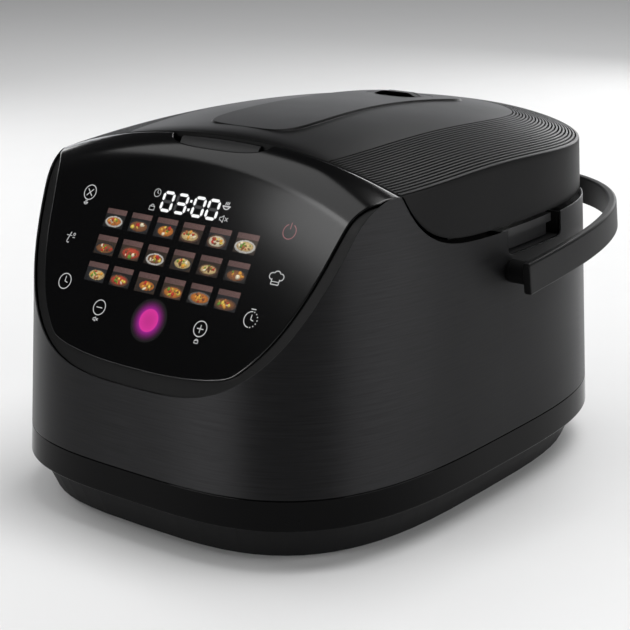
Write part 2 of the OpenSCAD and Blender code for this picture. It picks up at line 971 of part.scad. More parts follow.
module carry_handle() {
    color([0.12, 0.12, 0.125])
        tilted()
            difference() {
                intersection() {
                    body_block(handle_z, handle_top, handle_gap + handle_t, grip_gap + handle_t);
                    slab_y(handle_front, far);
                }
                body_block(handle_z - 1, handle_top + 1, handle_gap, grip_gap);
                translate([0, pivot_y, pivot_h])
                    rod_x(pivot_d + 2 * run, -far, far);
            }
}

// Hinge
module hinge_bracket() {
    plate_w = knuckle_len + 2 * ear_len;
    plate_t = 2;
    plate_h = 34;
    plate_top = seam_h - 2;
    arm = 5;
    color("dimgray")
        difference() {
            union() {
                translate([-plate_w / 2, half_d(plate_top) + air, plate_top])
                    rotate([draft_angle, 0, 0])
                        translate([0, 0, -plate_h])
                            cube([plate_w, plate_t, plate_h]);
                for (side = [0, 1])
                    mirror([side, 0, 0]) {
                        translate([0, hinge_y, hinge_h])
                            rod_x(knuckle_d, knuckle_len / 2 + side_gap, plate_w / 2);
                        translate([knuckle_len / 2 + side_gap, hinge_y - knuckle_d / 2 + 1, plate_top - 14])
                            cube([ear_len - side_gap, arm, hinge_h - plate_top + 14]);
                    }
            }
            translate([0, hinge_y, hinge_h])
                rod_x(hinge_pin_d + 2 * run, -far, far);
            body_block(plate_top - 60, plate_top + 8, air - 0.05);
        }
}

module hinge_pin() {
    color("silver")
        translate([0, hinge_y, hinge_h])
            rod_x(hinge_pin_d, -knuckle_len / 2 - ear_len, knuckle_len / 2 + ear_len);
}

module hinge_leaf() {
    leaf_h = 16;
    color("dimgray")
        difference() {
            union() {
                translate([0, hinge_y, hinge_h])
                    rod_x(knuckle_d, -knuckle_len / 2, knuckle_len / 2);
                translate([-knuckle_len / 2, hinge_y - knuckle_d / 2 - 2, hinge_h - knuckle_d / 2 + 1])
                    cube([knuckle_len, knuckle_d / 2 + 2, leaf_h]);
            }
            translate([0, hinge_y, hinge_h])
                rod_x(hinge_pin_d + 2 * run, -far, far);
            body_block(hinge_h - 30, hinge_h + 40, -lid_inset + 0.1);
            translate([-far, hinge_y - knuckle_d / 2 + 3, hinge_h + knuckle_d / 2])
                cube([2 * far, far, far]);
        }
}

// Lid
module lid_space(inset, drop) {
    intersection() {
        body_block(seam_h - 6, crown_h + 2, -lid_inset - inset);
        under_skin(-drop);
    }
}

module valve_well(d, z0) {
    translate([0, valve_y, z0])
        cylinder(d = d, h = far);
}

// the valve's cup and the duct under it share the room inside the lid
valve_top = dome_c.y + sqrt(pow(dome_r_long, 2) - pow(valve_y, 2));
duct_share = 0.2746;
duct_h = duct_share * (valve_top - lid_plate_z - lid_plate_t);
valve_floor = lid_plate_z + lid_plate_t + duct_h;
duct_d = 12;
duct_t = 3;
well_t = 2;
module lid_cover() {
    color([0.3, 0.3, 0.31])
        difference() {
            union() {
                difference() {
                    intersection() {
                        lid_space(0, 0);
                        over_seam(seam_gap);
                    }
                    intersection() {
                        lid_space(lid_t, lid_t);
                        slab_y(-lid_front + seam_gap + lid_t, far);
                    }
                }
                intersection() {
                    valve_well(valve_d + 2 * well_t, valve_floor);
                    under_skin(-lid_t / 2);
                }
            }
            valve_well(valve_d + 2 * fit, valve_floor + well_t);
            valve_well(duct_d, valve_floor - 1);
        }
}

// Cup with a hood at the rear and a mouth under it that blows to the front
hood_rise = 3;
hood_t = 0.8;
mouth_w = 30;
mouth_y = valve_y - 5;
mouth_deep = 9;
trough_len = 10;
trough_drop = 2.4;
cap_drop = 0.4;
cap_t = 3.5;
steam_slot = [24, 6];

module steam_valve() {
    color([0.16, 0.16, 0.165])
        difference() {
            union() {
                intersection() {
                    valve_well(valve_d, valve_floor + well_t);
                    under_skin(-cap_drop);
                }
                intersection() {
                    valve_well(valve_d, valve_floor + well_t);
                    under_skin(hood_rise);
                    slab_y(mouth_y, far);
                }
            }
            intersection() {
                valve_well(valve_d - 2 * well_t, valve_floor + well_t - 1);
                under_skin(-cap_t);
            }
            // the mouth and the trough before it
            difference() {
                intersection() {
                    translate([-mouth_w / 2, mouth_y - trough_len, 0])
                        cube([mouth_w, trough_len + mouth_deep, far]);
                    under_skin(hood_rise - hood_t);
                }
                under_skin(-trough_drop);
            }
            // way up from the cup
            intersection() {
                translate([-steam_slot.x / 2, mouth_y + 1, valve_floor])
                    cube([steam_slot.x, steam_slot.y, far]);
                under_skin(-1);
            }
        }
}

catch_side = 5;
catch_t = 1.2;
catch_h = 26;
catch_bar = 4;
nose_room = 1;
apron_w = 210;
apron_t = 2.5;
apron_y = -lid_front + seam_gap + lid_t + air;
module lid_inner_frame() {
    color([0.12, 0.12, 0.125])
        difference() {
            union() {
                intersection() {
                    body_block(lid_plate_z, lid_plate_z + lid_plate_t, -lid_inset - lid_t - air);
                    slab_y(-lid_front + 2.4 * seam_run, far);
                }
                translate([-apron_w / 2, apron_y, lid_plate_z])
                    cube([apron_w, -lid_front + 3 * seam_run - apron_y, lid_plate_t]);
                intersection() {
                    translate([-apron_w / 2, apron_y, lid_plate_z])
                        cube([apron_w, apron_t, far]);
                    under_skin(-lid_t - air);
                }
                at_bowl()
                    translate([0, 0, inner_lid_z + inner_lid_t])
                        cylinder(d = 20, h = lid_plate_z - inner_lid_z);
                intersection() {
                    translate([0, 0, lid_plate_z])
                        at_lid_posts()
                            cylinder(d = lid_post_d, h = far);
                    under_dome(-lid_t - air);
                }
                translate([0, valve_y, lid_plate_z])
                    cylinder(d = duct_d + 2 * duct_t, h = valve_floor - lid_plate_z - air);
            }
            translate([0, valve_y, lid_plate_z - 1])
                cylinder(d = duct_d, h = far);
            translate([0, 0, lid_plate_z - 1])
                at_lid_posts()
                    cylinder(d = lid_screw_d + 2 * run, h = lid_screw_len + 1);
        }
}

module lid_screws() {
    color("silver")
        at_lid_posts() {
            translate([0, 0, lid_plate_z - lid_head_h])
                cylinder(d = 2 * lid_screw_d, h = lid_head_h);
            translate([0, 0, lid_plate_z - lid_head_h / 2])
                cylinder(d = lid_screw_d, h = lid_screw_len);
        }
}

module lid_catch() {
    color("silver")
        translate([-latch_w / 2 - catch_side, apron_y - catch_t, lid_plate_z - catch_bar])
            difference() {
                cube([latch_w + 2 * catch_side, catch_t, catch_h]);
                translate([catch_side - nose_room, -1, catch_bar - nose_room])
                    cube([latch_w + 2 * nose_room, catch_t + 2, nose_t + 3 * nose_room]);
            }
}

module inner_lid() {
    color("silver")
        at_bowl()
            difference() {
                translate([0, 0, inner_lid_z])
                    cylinder(r = inner_lid_r, h = inner_lid_t);
                for (a = [0 : 60 : 300])
                    rotate([0, 0, a])
                        translate([valve_y - bowl_y, 0, 0])
                            cylinder(d = 5, h = far);
            }
}

module lid_gasket() {
    color("whitesmoke")
        at_bowl()
            difference() {
                tube(bowl_rim_r - 1.5, inner_lid_r - 4, gasket_z, lid_plate_z);
                tube(inner_lid_r + 0.1, inner_lid_r - 5, inner_lid_z - 0.1, inner_lid_z + inner_lid_t + 0.1);
                tube(inner_lid_r - 1, inner_lid_r - 5, gasket_z - 1, inner_lid_z + 0.1);
            }
}

module inner_lid_clips() {
    clip = [clip_w, clip_deep, lid_plate_z - inner_lid_z - inner_lid_t];
    color("black")
        at_bowl()
            for (side = [-1, 1])
                translate([0, side * (inner_lid_r - clip_in), inner_lid_z + inner_lid_t + clip.z / 2])
                    cube(clip, center = true);
}

placed() rubber_feet();
placed() base_pan();
placed() base_screws();
placed() base_band();
placed() chassis_plate();
placed() power_board();
placed() plate_legs();
placed() heating_plate();
placed() sensor_bracket();
placed() temperature_sensor();
placed() sensor_spring();
placed() inner_can();
placed() cooking_bowl();
placed() housing();
placed() ladle_socket();
placed() mains_inlet();
placed() inlet_pins();
placed() top_deck();
placed() panel_frame();
placed() control_panel();
placed() control_board();
placed() release_button();
placed() button_spring();
placed() latch_hook();
placed() latch_pin();
placed() handle_pivots();
placed() carry_handle();
placed() hinge_bracket();
placed() hinge_pin();
placed() hinge_leaf();
placed() lid_cover();
placed() lid_inner_frame();
placed() lid_screws();
placed() lid_catch();
placed() inner_lid();
placed() lid_gasket();
placed() inner_lid_clips();
placed() steam_valve();
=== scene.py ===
"""Dresses the multicooker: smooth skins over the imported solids, panel graphics, materials and light."""
import json
import math

import bpy
import numpy as np
from mathutils import Matrix, Vector
from mathutils.geometry import delaunay_2d_cdt


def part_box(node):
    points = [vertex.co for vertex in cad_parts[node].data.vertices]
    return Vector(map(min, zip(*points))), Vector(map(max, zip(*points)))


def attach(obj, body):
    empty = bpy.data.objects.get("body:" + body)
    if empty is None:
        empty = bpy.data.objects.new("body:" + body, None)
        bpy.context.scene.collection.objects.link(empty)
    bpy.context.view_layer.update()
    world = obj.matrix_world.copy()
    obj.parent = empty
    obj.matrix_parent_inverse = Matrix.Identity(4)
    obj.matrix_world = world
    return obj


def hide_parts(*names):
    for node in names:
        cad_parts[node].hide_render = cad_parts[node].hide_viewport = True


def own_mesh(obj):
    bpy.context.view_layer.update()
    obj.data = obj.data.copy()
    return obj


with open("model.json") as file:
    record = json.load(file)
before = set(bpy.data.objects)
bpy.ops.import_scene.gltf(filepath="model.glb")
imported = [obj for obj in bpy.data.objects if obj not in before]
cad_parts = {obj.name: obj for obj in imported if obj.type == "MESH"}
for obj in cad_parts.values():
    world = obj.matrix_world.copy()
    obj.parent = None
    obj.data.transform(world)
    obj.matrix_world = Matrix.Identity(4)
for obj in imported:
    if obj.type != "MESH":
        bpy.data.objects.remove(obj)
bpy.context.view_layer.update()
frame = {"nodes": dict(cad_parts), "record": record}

# Sizes in millimetres, in the frame of the part's source before it is centred
BODY_W = 280.0
BODY_D = 362.0
SQUARE = 3.3
DRAFT = math.tan(math.radians(3.0))
BASE_H = 24.0
HOUSING_Z = 42.5
SEAM_H = 166.5
CROWN_H = 229.0
DOME_SIDE = 390.0
DOME_LONG = 865.0
DOME_REACH = 200.0
JACKET_T = 0.8
JACKET_CAD_T = 1.5
PANEL_A = math.radians(59.5)
FOOT_Z = 92.4
CURL_R = 40.0
CURL_SHORT = math.radians(8)
BORDER_W = 9.0
BORDER_FOOT = 10.5
FOOT_ROUND = 10.0
FOOT_POWER = 2.5
FLARE_BACK = 3.0
FLARE_RUN = 7.5
LID_FRONT = 93.4
LID_INSET = 1.5
LID_T = 2.5
SEAM_GAP = 1.2
SEAM_RISE = 37.0
SEAM_RUN = 18.0
GLASS_REAR = LID_FRONT + SEAM_GAP / 2 - 0.3
PIVOT_Y = 10.0
PIVOT_Z = 142.0
HANDLE_Z = 132.0
HANDLE_H = 19.0
HANDLE_GAP = 13.25
GRIP_GAP = 17.0
HANDLE_T = 5.0
HANDLE_TILT = math.radians(4.6)
HANDLE_FRONT = 1.0
VALVE_Y = 86.0
VALVE_R = 22.0
SOCKET_Y = (7.0, 73.4)
SOCKET_Z = 151.5
SOCKET_ROUND = 4.0


def half_w(z):
    return BODY_W / 2 - DRAFT * (z - HOUSING_Z)


def half_d(z):
    return BODY_D / 2 - DRAFT * (z - HOUSING_Z)


REACH = half_d(HANDLE_Z) + GRIP_GAP + HANDLE_T - PIVOT_Y
HANDLE_REAR = PIVOT_Y + REACH * math.cos(HANDLE_TILT) + (PIVOT_Z - HANDLE_Z) * math.sin(HANDLE_TILT)
MIDDLE_Y = (HANDLE_REAR - half_d(BASE_H)) / 2

# Panel slope, its curl and the dome
FOOT_Y = -half_d(FOOT_Z)
CA, SA = math.cos(PANEL_A), math.sin(PANEL_A)
_fc = np.array([FOOT_Y, FOOT_Z - CROWN_H + DOME_LONG])
_along = _fc @ np.array([CA, SA])
PANEL_LEN = -_along + math.sqrt(_along ** 2 - _fc @ _fc + DOME_LONG ** 2)
BROW_A = math.asin(-(FOOT_Y + PANEL_LEN * CA) / DOME_LONG)
TURN = PANEL_A - BROW_A
CURL_TURN = TURN - CURL_SHORT
RIDGE_R = DOME_SIDE * (SA - CA * math.tan(BROW_A))
RIDGE_RUN = CURL_R * (1 - math.cos(CURL_TURN)) / math.sin(TURN)
RIM_R = RIDGE_R + RIDGE_RUN * math.cos(TURN) - CURL_R * math.sin(CURL_TURN)
CURL_START = PANEL_LEN - RIDGE_R + RIM_R

CREASE = 1.2
MIRROR = np.array([-1, 1])


def ease(k):
    """Smooth step from 0 to 1."""
    k = np.clip(k, 0, 1)
    return k * k * (3 - 2 * k)


def soft_min(a, b):
    """Lower of two heights, eased where they cross."""
    h = np.clip(0.5 + 0.5 * (a - b) / CREASE, 0, 1)
    return a * (1 - h) + b * h - CREASE * h * (1 - h)


def last_true(test, like, bounds):
    """Largest value within bounds, entry by entry, for which a test still holds."""
    lo, hi = (np.full_like(like, b) for b in bounds)
    for _ in range(50):
        mid = (lo + hi) / 2
        ok = test(mid)
        lo, hi = np.where(ok, mid, lo), np.where(ok, hi, mid)
    return lo


def circle(count):
    return np.linspace(0, 2 * np.pi, count, endpoint=False)


def quarter(steps):
    """Angles of a quarter turn, from 0."""
    return np.arange(steps + 1) / steps * math.pi / 2


def plan_factors(t):
    """Unit superellipse point at angle t."""
    c, s = np.cos(t), np.sin(t)
    e = 2 / SQUARE
    return np.sign(c) * np.abs(c) ** e, np.sign(s) * np.abs(s) ** e


def oval_x(y, w, d):
    return w * np.maximum(0, 1 - np.minimum(1, np.abs(y) / d) ** SQUARE) ** (1 / SQUARE)


def wall_x(y, z):
    return oval_x(y, half_w(z), half_d(z))


def dome_z(x, y):
    side = DOME_LONG - DOME_SIDE + np.sqrt(DOME_SIDE ** 2 - np.minimum(np.abs(x), DOME_REACH) ** 2)
    return CROWN_H - DOME_LONG + np.sqrt(side ** 2 - y ** 2)


def seam_z(y):
    return SEAM_H + SEAM_RISE * np.exp(-(y + LID_FRONT) / SEAM_RUN)


def curl_n(x, s):
    """Height of the panel's skin over its slope at a place on the slope."""
    u = np.hypot(x, s - (PANEL_LEN - RIDGE_R)) - RIM_R
    end = CURL_R * math.sin(CURL_TURN)
    arc = -CURL_R + np.sqrt(CURL_R ** 2 - np.clip(u, 0, end) ** 2)
    return arc - np.maximum(0, u - end) * math.tan(CURL_TURN)


def off_panel(x, s, n):
    """World point from a place on the slope and a height over it."""
    return np.stack([x, FOOT_Y + s * CA - n * SA, FOOT_Z + s * SA + n * CA], -1)


def skin_n(x, s):
    """Height over the slope of the slope, its curl and the dome together, with the crease eased."""
    n = curl_n(x, s)
    m = np.array(n, float)
    for _ in range(12):
        p = off_panel(x, s, m)
        m = m + (dome_z(p[..., 0], p[..., 1]) - p[..., 2]) * 0.8
    return soft_min(m, n)


def glass_half(s):
    taper = np.maximum(0, BORDER_FOOT + FOOT_ROUND - s) / FOOT_ROUND
    taper = np.maximum(0, 1 - np.minimum(1, taper) ** FOOT_POWER) ** (1 / FOOT_POWER)
    flare = BORDER_W * np.exp((s - (CURL_START - FLARE_BACK)) / FLARE_RUN)
    edge = wall_x(FOOT_Y + s * CA, FOOT_Z + s * SA)
    return np.minimum(BODY_W / 2, edge - BORDER_W + flare) * taper


# Meshes
def to_row(p):
    return (np.asarray(p, float) - np.array([0, MIDDLE_Y, 0])) * 0.001


def add_object(name, data):
    ob = bpy.data.objects.new(name, data)
    bpy.context.scene.collection.objects.link(ob)
    return ob


def new_mesh(name, verts, faces, uv=None, normals=None, sharp=40):
    """Smooth mesh object from millimetre points, with an angle for sharp edges, UV or normals."""
    me = bpy.data.meshes.new(name)
    me.from_pydata(to_row(verts).tolist(), [], [list(map(int, f)) for f in faces])
    me.update()
    me.polygons.foreach_set("use_smooth", np.ones(len(me.polygons), bool))
    if uv is not None:
        layer = me.uv_layers.new(name="UVMap")
        loops = np.zeros(len(me.loops), np.int32)
        me.loops.foreach_get("vertex_index", loops)
        layer.data.foreach_set("uv", uv[loops].astype(np.float32).ravel())
    if normals is not None:
        me.normals_split_custom_set_from_vertices(normals.tolist())
    else:
        me.set_sharp_from_angle(angle=math.radians(sharp))
    return add_object(name, me)


def grid_faces(rows, cols, closed=False, flip=False, start=0):
    r = np.arange(rows - 1)[:, None]
    c = np.arange(cols if closed else cols - 1)[None, :]
    d = (c + 1) % cols
    f = np.stack([r * cols + c, r * cols + d, (r + 1) * cols + d, (r + 1) * cols + c], -1)
    f = f.reshape(-1, 4) + start
    return f[:, ::-1] if flip else f


def dress(ob, body, slot, node=None, material=None):
    """Gives a piece its body and the material of its slot, and hides the node it replaces."""
    ob.data.materials.append(material or M[slot])
    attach(ob, body)
    if node:
        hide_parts(node)
    return ob


def even_shading(ob):
    m = ob.modifiers.new("even_shading", "WEIGHTED_NORMAL")
    m.keep_sharp = True
    m.weight = 80
    return ob


ROUND_STEPS = 6
GRID_CLEAR = 0.6


def round_profile(points, radii):
    """Closed 2-D polyline with its corners rounded."""
    pts = [np.array(p, float) for p in points]
    out = []
    for i, p in enumerate(pts):
        r = radii[i]
        if r == 0:
            out.append(p)
            continue
        a = pts[i - 1] - p
        b = pts[(i + 1) % len(pts)] - p
        la, lb = np.linalg.norm(a), np.linalg.norm(b)
        a, b = a / la, b / lb
        half = math.acos(np.clip(a @ b, -1, 1)) / 2
        cut = min(r / math.tan(half), 0.49 * la, 0.49 * lb)
        r = cut * math.tan(half)
        mid = (a + b) / np.linalg.norm(a + b)
        c = p + mid * r / math.sin(half)
        u, v = p + a * cut - c, p + b * cut - c
        for k in np.arange(ROUND_STEPS + 1) / ROUND_STEPS:
            q = u * (1 - k) + v * k
            out.append(c + q / np.linalg.norm(q) * r)
    return np.array(out)


def inside(poly, pts):
    """Which points lie inside a closed polygon."""
    x, y = pts.T
    hit = np.zeros(len(pts), bool)
    for (xi, yi), (xj, yj) in zip(poly, np.roll(poly, 1, 0)):
        if yi != yj:
            cross = (yi > y) != (yj > y)
            hit ^= cross & (x < (xj - xi) * (y - yi) / (yj - yi) + xi)
    return hit


def runs_left(loop):
    """Whether a closed polyline runs round to the left."""
    after = np.roll(loop, -1, 0)
    return (loop[:, 0] * after[:, 1] - after[:, 0] * loop[:, 1]).sum() > 0


def distance(poly, pts):
    """Distance of points to a closed polyline."""
    best = np.full(len(pts), 1e9)
    for p, q in zip(poly, np.roll(poly, -1, 0)):
        d = q - p
        k = np.clip(((pts - p) @ d) / max(d @ d, 1e-12), 0, 1)
        best = np.minimum(best, np.hypot(*(pts - p - k[:, None] * d).T))
    return best


def face_up(co, tris):
    """Triangles of plane points, all turned the same way round."""
    a, b, c = (co[tris[:, k]] for k in range(3))
    return np.where((np.cross(b - a, c - a) < 0)[:, None], tris[:, ::-1], tris)


def fill_patch(outer, holes, extra, spacing):
    """Triangles over a plane region: its loops, extra points and a regular grid between them."""
    lo, hi = outer.min(0), outer.max(0)
    gx, gy = np.meshgrid(np.arange(lo[0], hi[0], spacing), np.arange(lo[1], hi[1], spacing))
    gx[1::2] += spacing / 2
    g = np.stack([gx.ravel(), gy.ravel()], 1)
    g = g[inside(outer, g)]
    for h in holes:
        g = g[~inside(h, g)]
    for loop in [outer] + holes + extra:
        g = g[distance(loop, g) > GRID_CLEAR * spacing]
    verts, edges = [], []
    for loop in [outer] + holes:
        n = len(verts)
        verts += [tuple(p) for p in loop]
        edges += [(n + i, n + (i + 1) % len(loop)) for i in range(len(loop))]
    for more in extra + [g]:
        verts += [tuple(p) for p in more]
    co, _, tris, _, _, _ = delaunay_2d_cdt([Vector(v) for v in verts], edges, [], 0, 1e-5)
    co = np.array([tuple(v) for v in co])
    tris = np.array([t for t in tris if len(t) == 3])
    mid = co[tris].mean(1)
    ok = inside(outer, mid)
    for h in holes:
        ok &= ~inside(h, mid)
    return co, face_up(co, tris[ok])


def unit(v):
    return v / np.maximum(np.linalg.norm(v, axis=1), 1e-9)[:, None]


def nearest(places, pts):
    """Index of the point that is nearest to each place."""
    return np.array([np.argmin(np.hypot(*(pts - p).T)) for p in places])


def shrink(loop, d):
    """Points of a loop moved inwards by d, without those that come too close to it again."""
    t = unit(np.roll(loop, -1, 0) - np.roll(loop, 1, 0))
    n = np.stack([-t[:, 1], t[:, 0]], 1) * (1 if runs_left(loop) else -1)
    p = loop + n * d
    return p[distance(loop, p) > 0.97 * d]


def edge_drop(dist, r):
    d = np.clip(dist, 0, r)
    return r - np.sqrt(np.maximum(0, r * r - (r - d) ** 2))


# Materials
RELIEF = 0.0002
BLACK = (0.01, 0.01, 0.01, 1)
LIT_ROUGH = 0.15


def put(node, **values):
    """Sets properties, or sockets with an underscore for each space in their names."""
    for key, value in values.items():
        if hasattr(node, key):
            setattr(node, key, value)
        else:
            node.inputs[key.replace("_", " ")].default_value = value
    return node


def add(tree, kind, **values):
    return put(tree.nodes.new("ShaderNode" + kind), **values)


def join(a, out, b, into):
    a.id_data.links.new(a.outputs[out], b.inputs[into])


def new_material(name):
    """Material with its node tree, its shader and a node for coordinates."""
    m = bpy.data.materials.new(name)
    m.use_nodes = True
    return m, m.node_tree, m.node_tree.nodes["Principled BSDF"], add(m.node_tree, "TexCoord")


def noise(tree, pos, **values):
    n = add(tree, "TexNoise", **values)
    join(pos, "Object", n, "Vector")
    return n


def ranged(tree, source, out, **values):
    n = add(tree, "MapRange", **values)
    join(source, out, n, "Value")
    return n


def tint(tree, pattern, color, low, high, shader, socket):
    """Colour that a pattern moves between two shares of itself."""
    mix = add(tree, "Mix", data_type="RGBA")
    mix.inputs[6].default_value = (*[c * low for c in color], 1)
    mix.inputs[7].default_value = (*[c * high for c in color], 1)
    join(pattern, "Fac", mix, 0)
    join(mix, 2, shader, socket)


def relief(tree, pattern, strength, shader):
    rise = add(tree, "Bump", Strength=strength, Distance=RELIEF)
    join(pattern, "Fac", rise, "Height")
    join(rise, "Normal", shader, "Normal")


def plastic(name, color, rough, bump=0.05, scale=900.0, spec=0.5, mottle=0.12):
    """Moulded plastic: a fine grain in the relief and a faint unevenness in gloss and colour."""
    m, tree, b, pos = new_material(name)
    wide = noise(tree, pos, Scale=18.0, Detail=4.0)
    ramp = ranged(tree, wide, "Fac", To_Min=rough * (1 - mottle), To_Max=rough * (1 + mottle))
    join(ramp, "Result", b, "Roughness")
    tint(tree, wide, color, 1 - mottle, 1 + mottle, b, "Base Color")
    relief(tree, noise(tree, pos, Scale=scale, Detail=3.0), bump, b)
    put(b, Specular_IOR_Level=spec)
    return m


def brushed(name, color, rough, along, across, spread, bump, metallic=1.0, stretch=0.0):
    """Brushed metal: fine streaks in colour, gloss and relief, on the UV map if the gloss is stretched."""
    m, tree, b, pos = new_material(name)
    size = add(tree, "Mapping", Scale=(along, across, 1.0) if stretch else (along, along, across))
    join(pos, "UV" if stretch else "Object", size, "Vector")
    streak = add(tree, "TexNoise", Scale=1.0, Detail=5.0, Roughness=0.65)
    join(size, "Vector", streak, "Vector")
    tint(tree, streak, color, 1 - spread, 1 + spread, b, "Base Color")
    both = add(tree, "Math", operation="ADD")
    join(streak, "Fac", both, 0)
    join(noise(tree, pos, Scale=9.0, Detail=2.0), "Fac", both, 1)
    ramp = ranged(tree, both, "Value", From_Max=2.0, To_Min=rough * 0.75, To_Max=rough * 1.25)
    join(ramp, "Result", b, "Roughness")
    relief(tree, streak, bump, b)
    put(b, Metallic=metallic)
    if stretch:
        course = add(tree, "Tangent", direction_type="UV_MAP", uv_map="UVMap")
        join(course, "Tangent", b, "Tangent")
        put(b, Anisotropic=stretch, Anisotropic_Rotation=0.25)
    return m


def lit(name, color, strength):
    """Symbol lit from behind the glass, with a faint unevenness of the light."""
    m, tree, b, pos = new_material(name)
    tint(tree, noise(tree, pos, Scale=400.0, Detail=2.0), color, 0.86, 1, b, "Emission Color")
    put(b, Base_Color=BLACK, Emission_Strength=strength, Roughness=LIT_ROUGH)
    return m


def painted(name, strength, grain=0.0):
    """Colours held in the mesh, lit from behind, broken up by a fine pattern."""
    m, tree, b, pos = new_material(name)
    fine = noise(tree, pos, Scale=1500.0, Detail=4.0, Roughness=0.7)
    ramp = ranged(tree, fine, "Fac", From_Min=0.3, From_Max=0.7, To_Min=1 - grain, To_Max=1 + grain)
    shade = add(tree, "VectorMath", operation="SCALE")
    join(add(tree, "VertexColor", layer_name="Col"), "Color", shade, 0)
    join(ramp, "Result", shade, "Scale")
    join(shade, "Vector", b, "Emission Color")
    put(b, Base_Color=BLACK, Emission_Strength=strength, Roughness=LIT_ROUGH)
    return m


M = {
    "jacket_metal": brushed("jacket_brushed", (0.018, 0.018, 0.0188), 0.54, along=30.0, across=1000.0,
                            spread=0.7, bump=0.22, metallic=0.85, stretch=0.85),
    "gloss_black": plastic("band_gloss", (0.0016, 0.0016, 0.0017), 0.12, bump=0.01, spec=0.06),
    "base_black": plastic("base_matte", (0.006, 0.006, 0.0062), 0.55, bump=0.2, spec=0.12),
    "panel_gloss": plastic("panel_glass", (0.0008, 0.0008, 0.0009), 0.13, bump=0.0, spec=0.45, mottle=0.05),
    "frame_black": plastic("border_satin", (0.0035, 0.0035, 0.0036), 0.38, bump=0.08, spec=0.22),
    "lid_plastic": plastic("lid_satin", (0.003, 0.003, 0.0031), 0.38, bump=0.10, scale=1400.0, spec=0.06),
    "handle_plastic": plastic("handle_satin", (0.004, 0.004, 0.0042), 0.42, bump=0.12, spec=0.12),
    "trim_grey": plastic("trim_grey", (0.014, 0.014, 0.0145), 0.36, bump=0.08, spec=0.3),
    "deck_plastic": plastic("deck_satin", (0.004, 0.004, 0.0042), 0.65, bump=0.1, spec=0.07),
    "bowl_coating": plastic("bowl_coating", (0.05, 0.05, 0.051), 0.42, bump=0.25, scale=1800.0, mottle=0.25),
    "steel": brushed("satin_steel", (0.42, 0.42, 0.43), 0.32, along=60.0, across=900.0, spread=0.2,
                     bump=0.05),
    "cast_aluminium": brushed("satin_aluminium", (0.55, 0.55, 0.56), 0.36, along=300.0, across=340.0,
                              spread=0.15, bump=0.08),
    "rubber_black": plastic("foot_rubber", (0.012, 0.012, 0.012), 0.75, bump=0.3),
    "seal_rubber": plastic("seal_silicone", (0.62, 0.62, 0.60), 0.55, bump=0.1),
    "board_green": plastic("board_mask", (0.015, 0.10, 0.04), 0.35, bump=0.1, mottle=0.3),
    "white": lit("symbol_white", (0.66, 0.66, 0.67), 0.9),
    "digit": lit("digit_white", (1.0, 1.0, 1.0), 1.0),
    "dim": lit("digit_unlit", (0.07, 0.07, 0.072), 0.6),
    "power": lit("symbol_power", (0.34, 0.11, 0.12), 0.8),
    "tiles": painted("menu_tiles", 0.9, grain=0.35),
    "glow": painted("start_glow", 1.0),
}
for part in frame["record"]["subparts"]:
    solid = frame["nodes"][part["node"]]
    solid.data.materials.clear()
    # Painted shade: the handle's pivots take the deck's duller, less reflective plastic, which stands in for
    # the shadow around the handle's ends.
    look = "deck_plastic" if part["node"] == "handle_pivots" else part["material_slot"]
    solid.data.materials.append(M[look])

# Plan samples, evenly spread along the outline
_t = np.linspace(0, 2 * np.pi, 20001)
_x, _y = plan_factors(_t)
_len = np.concatenate([[0], np.cumsum(np.hypot(np.diff(_x * BODY_W / 2), np.diff(_y * BODY_D / 2)))])


def angles_at(count, first=0.0, last=2 * np.pi, ends=False):
    a, b = np.interp([first, last], _t, _len)
    return np.interp(np.linspace(a, b, count, endpoint=ends), _len, _t)


def plan_angle(fy, right):
    """Angle of the outline's point at a share fy of its half depth, on the right or left side."""
    a = math.asin(np.sign(fy) * abs(fy) ** (SQUARE / 2))
    return a % (2 * math.pi) if right else math.pi - a


def wall_points(t, z, out):
    fx, fy = plan_factors(t)
    return np.stack([(half_w(z) + out) * fx, (half_d(z) + out) * fy, z], -1)


# Jacket
TOP_RANGE = (70.0, 216.0)
TIP_Z = 203.0
SOCKET_MID_Z = 159.0
JACKET_COLS = 560
JACKET_ROWS = 42
JACKET_FOOT = 0.5
SPLIT = 2e-4
JACKET_EDGE_R = 0.35
EDGE_STEPS = 5
INLET_Z = 66.0
INLET_HALF = (24.2, 14.2)


def jacket_top(t):
    """Height of the jacket's upper edge, where it meets the panel's skin, the dome or the lid's seam."""
    fx, fy = plan_factors(t)

    def below(z):
        x, y = half_w(z) * fx, half_d(z) * fy
        s = (y - FOOT_Y) * CA + (z - FOOT_Z) * SA
        n = -(y - FOOT_Y) * SA + (z - FOOT_Z) * CA
        return (n <= curl_n(x, s)) & (z <= dome_z(x, y)) & ((y < -LID_FRONT) | (z <= seam_z(y)))

    return last_true(below, t, TOP_RANGE)


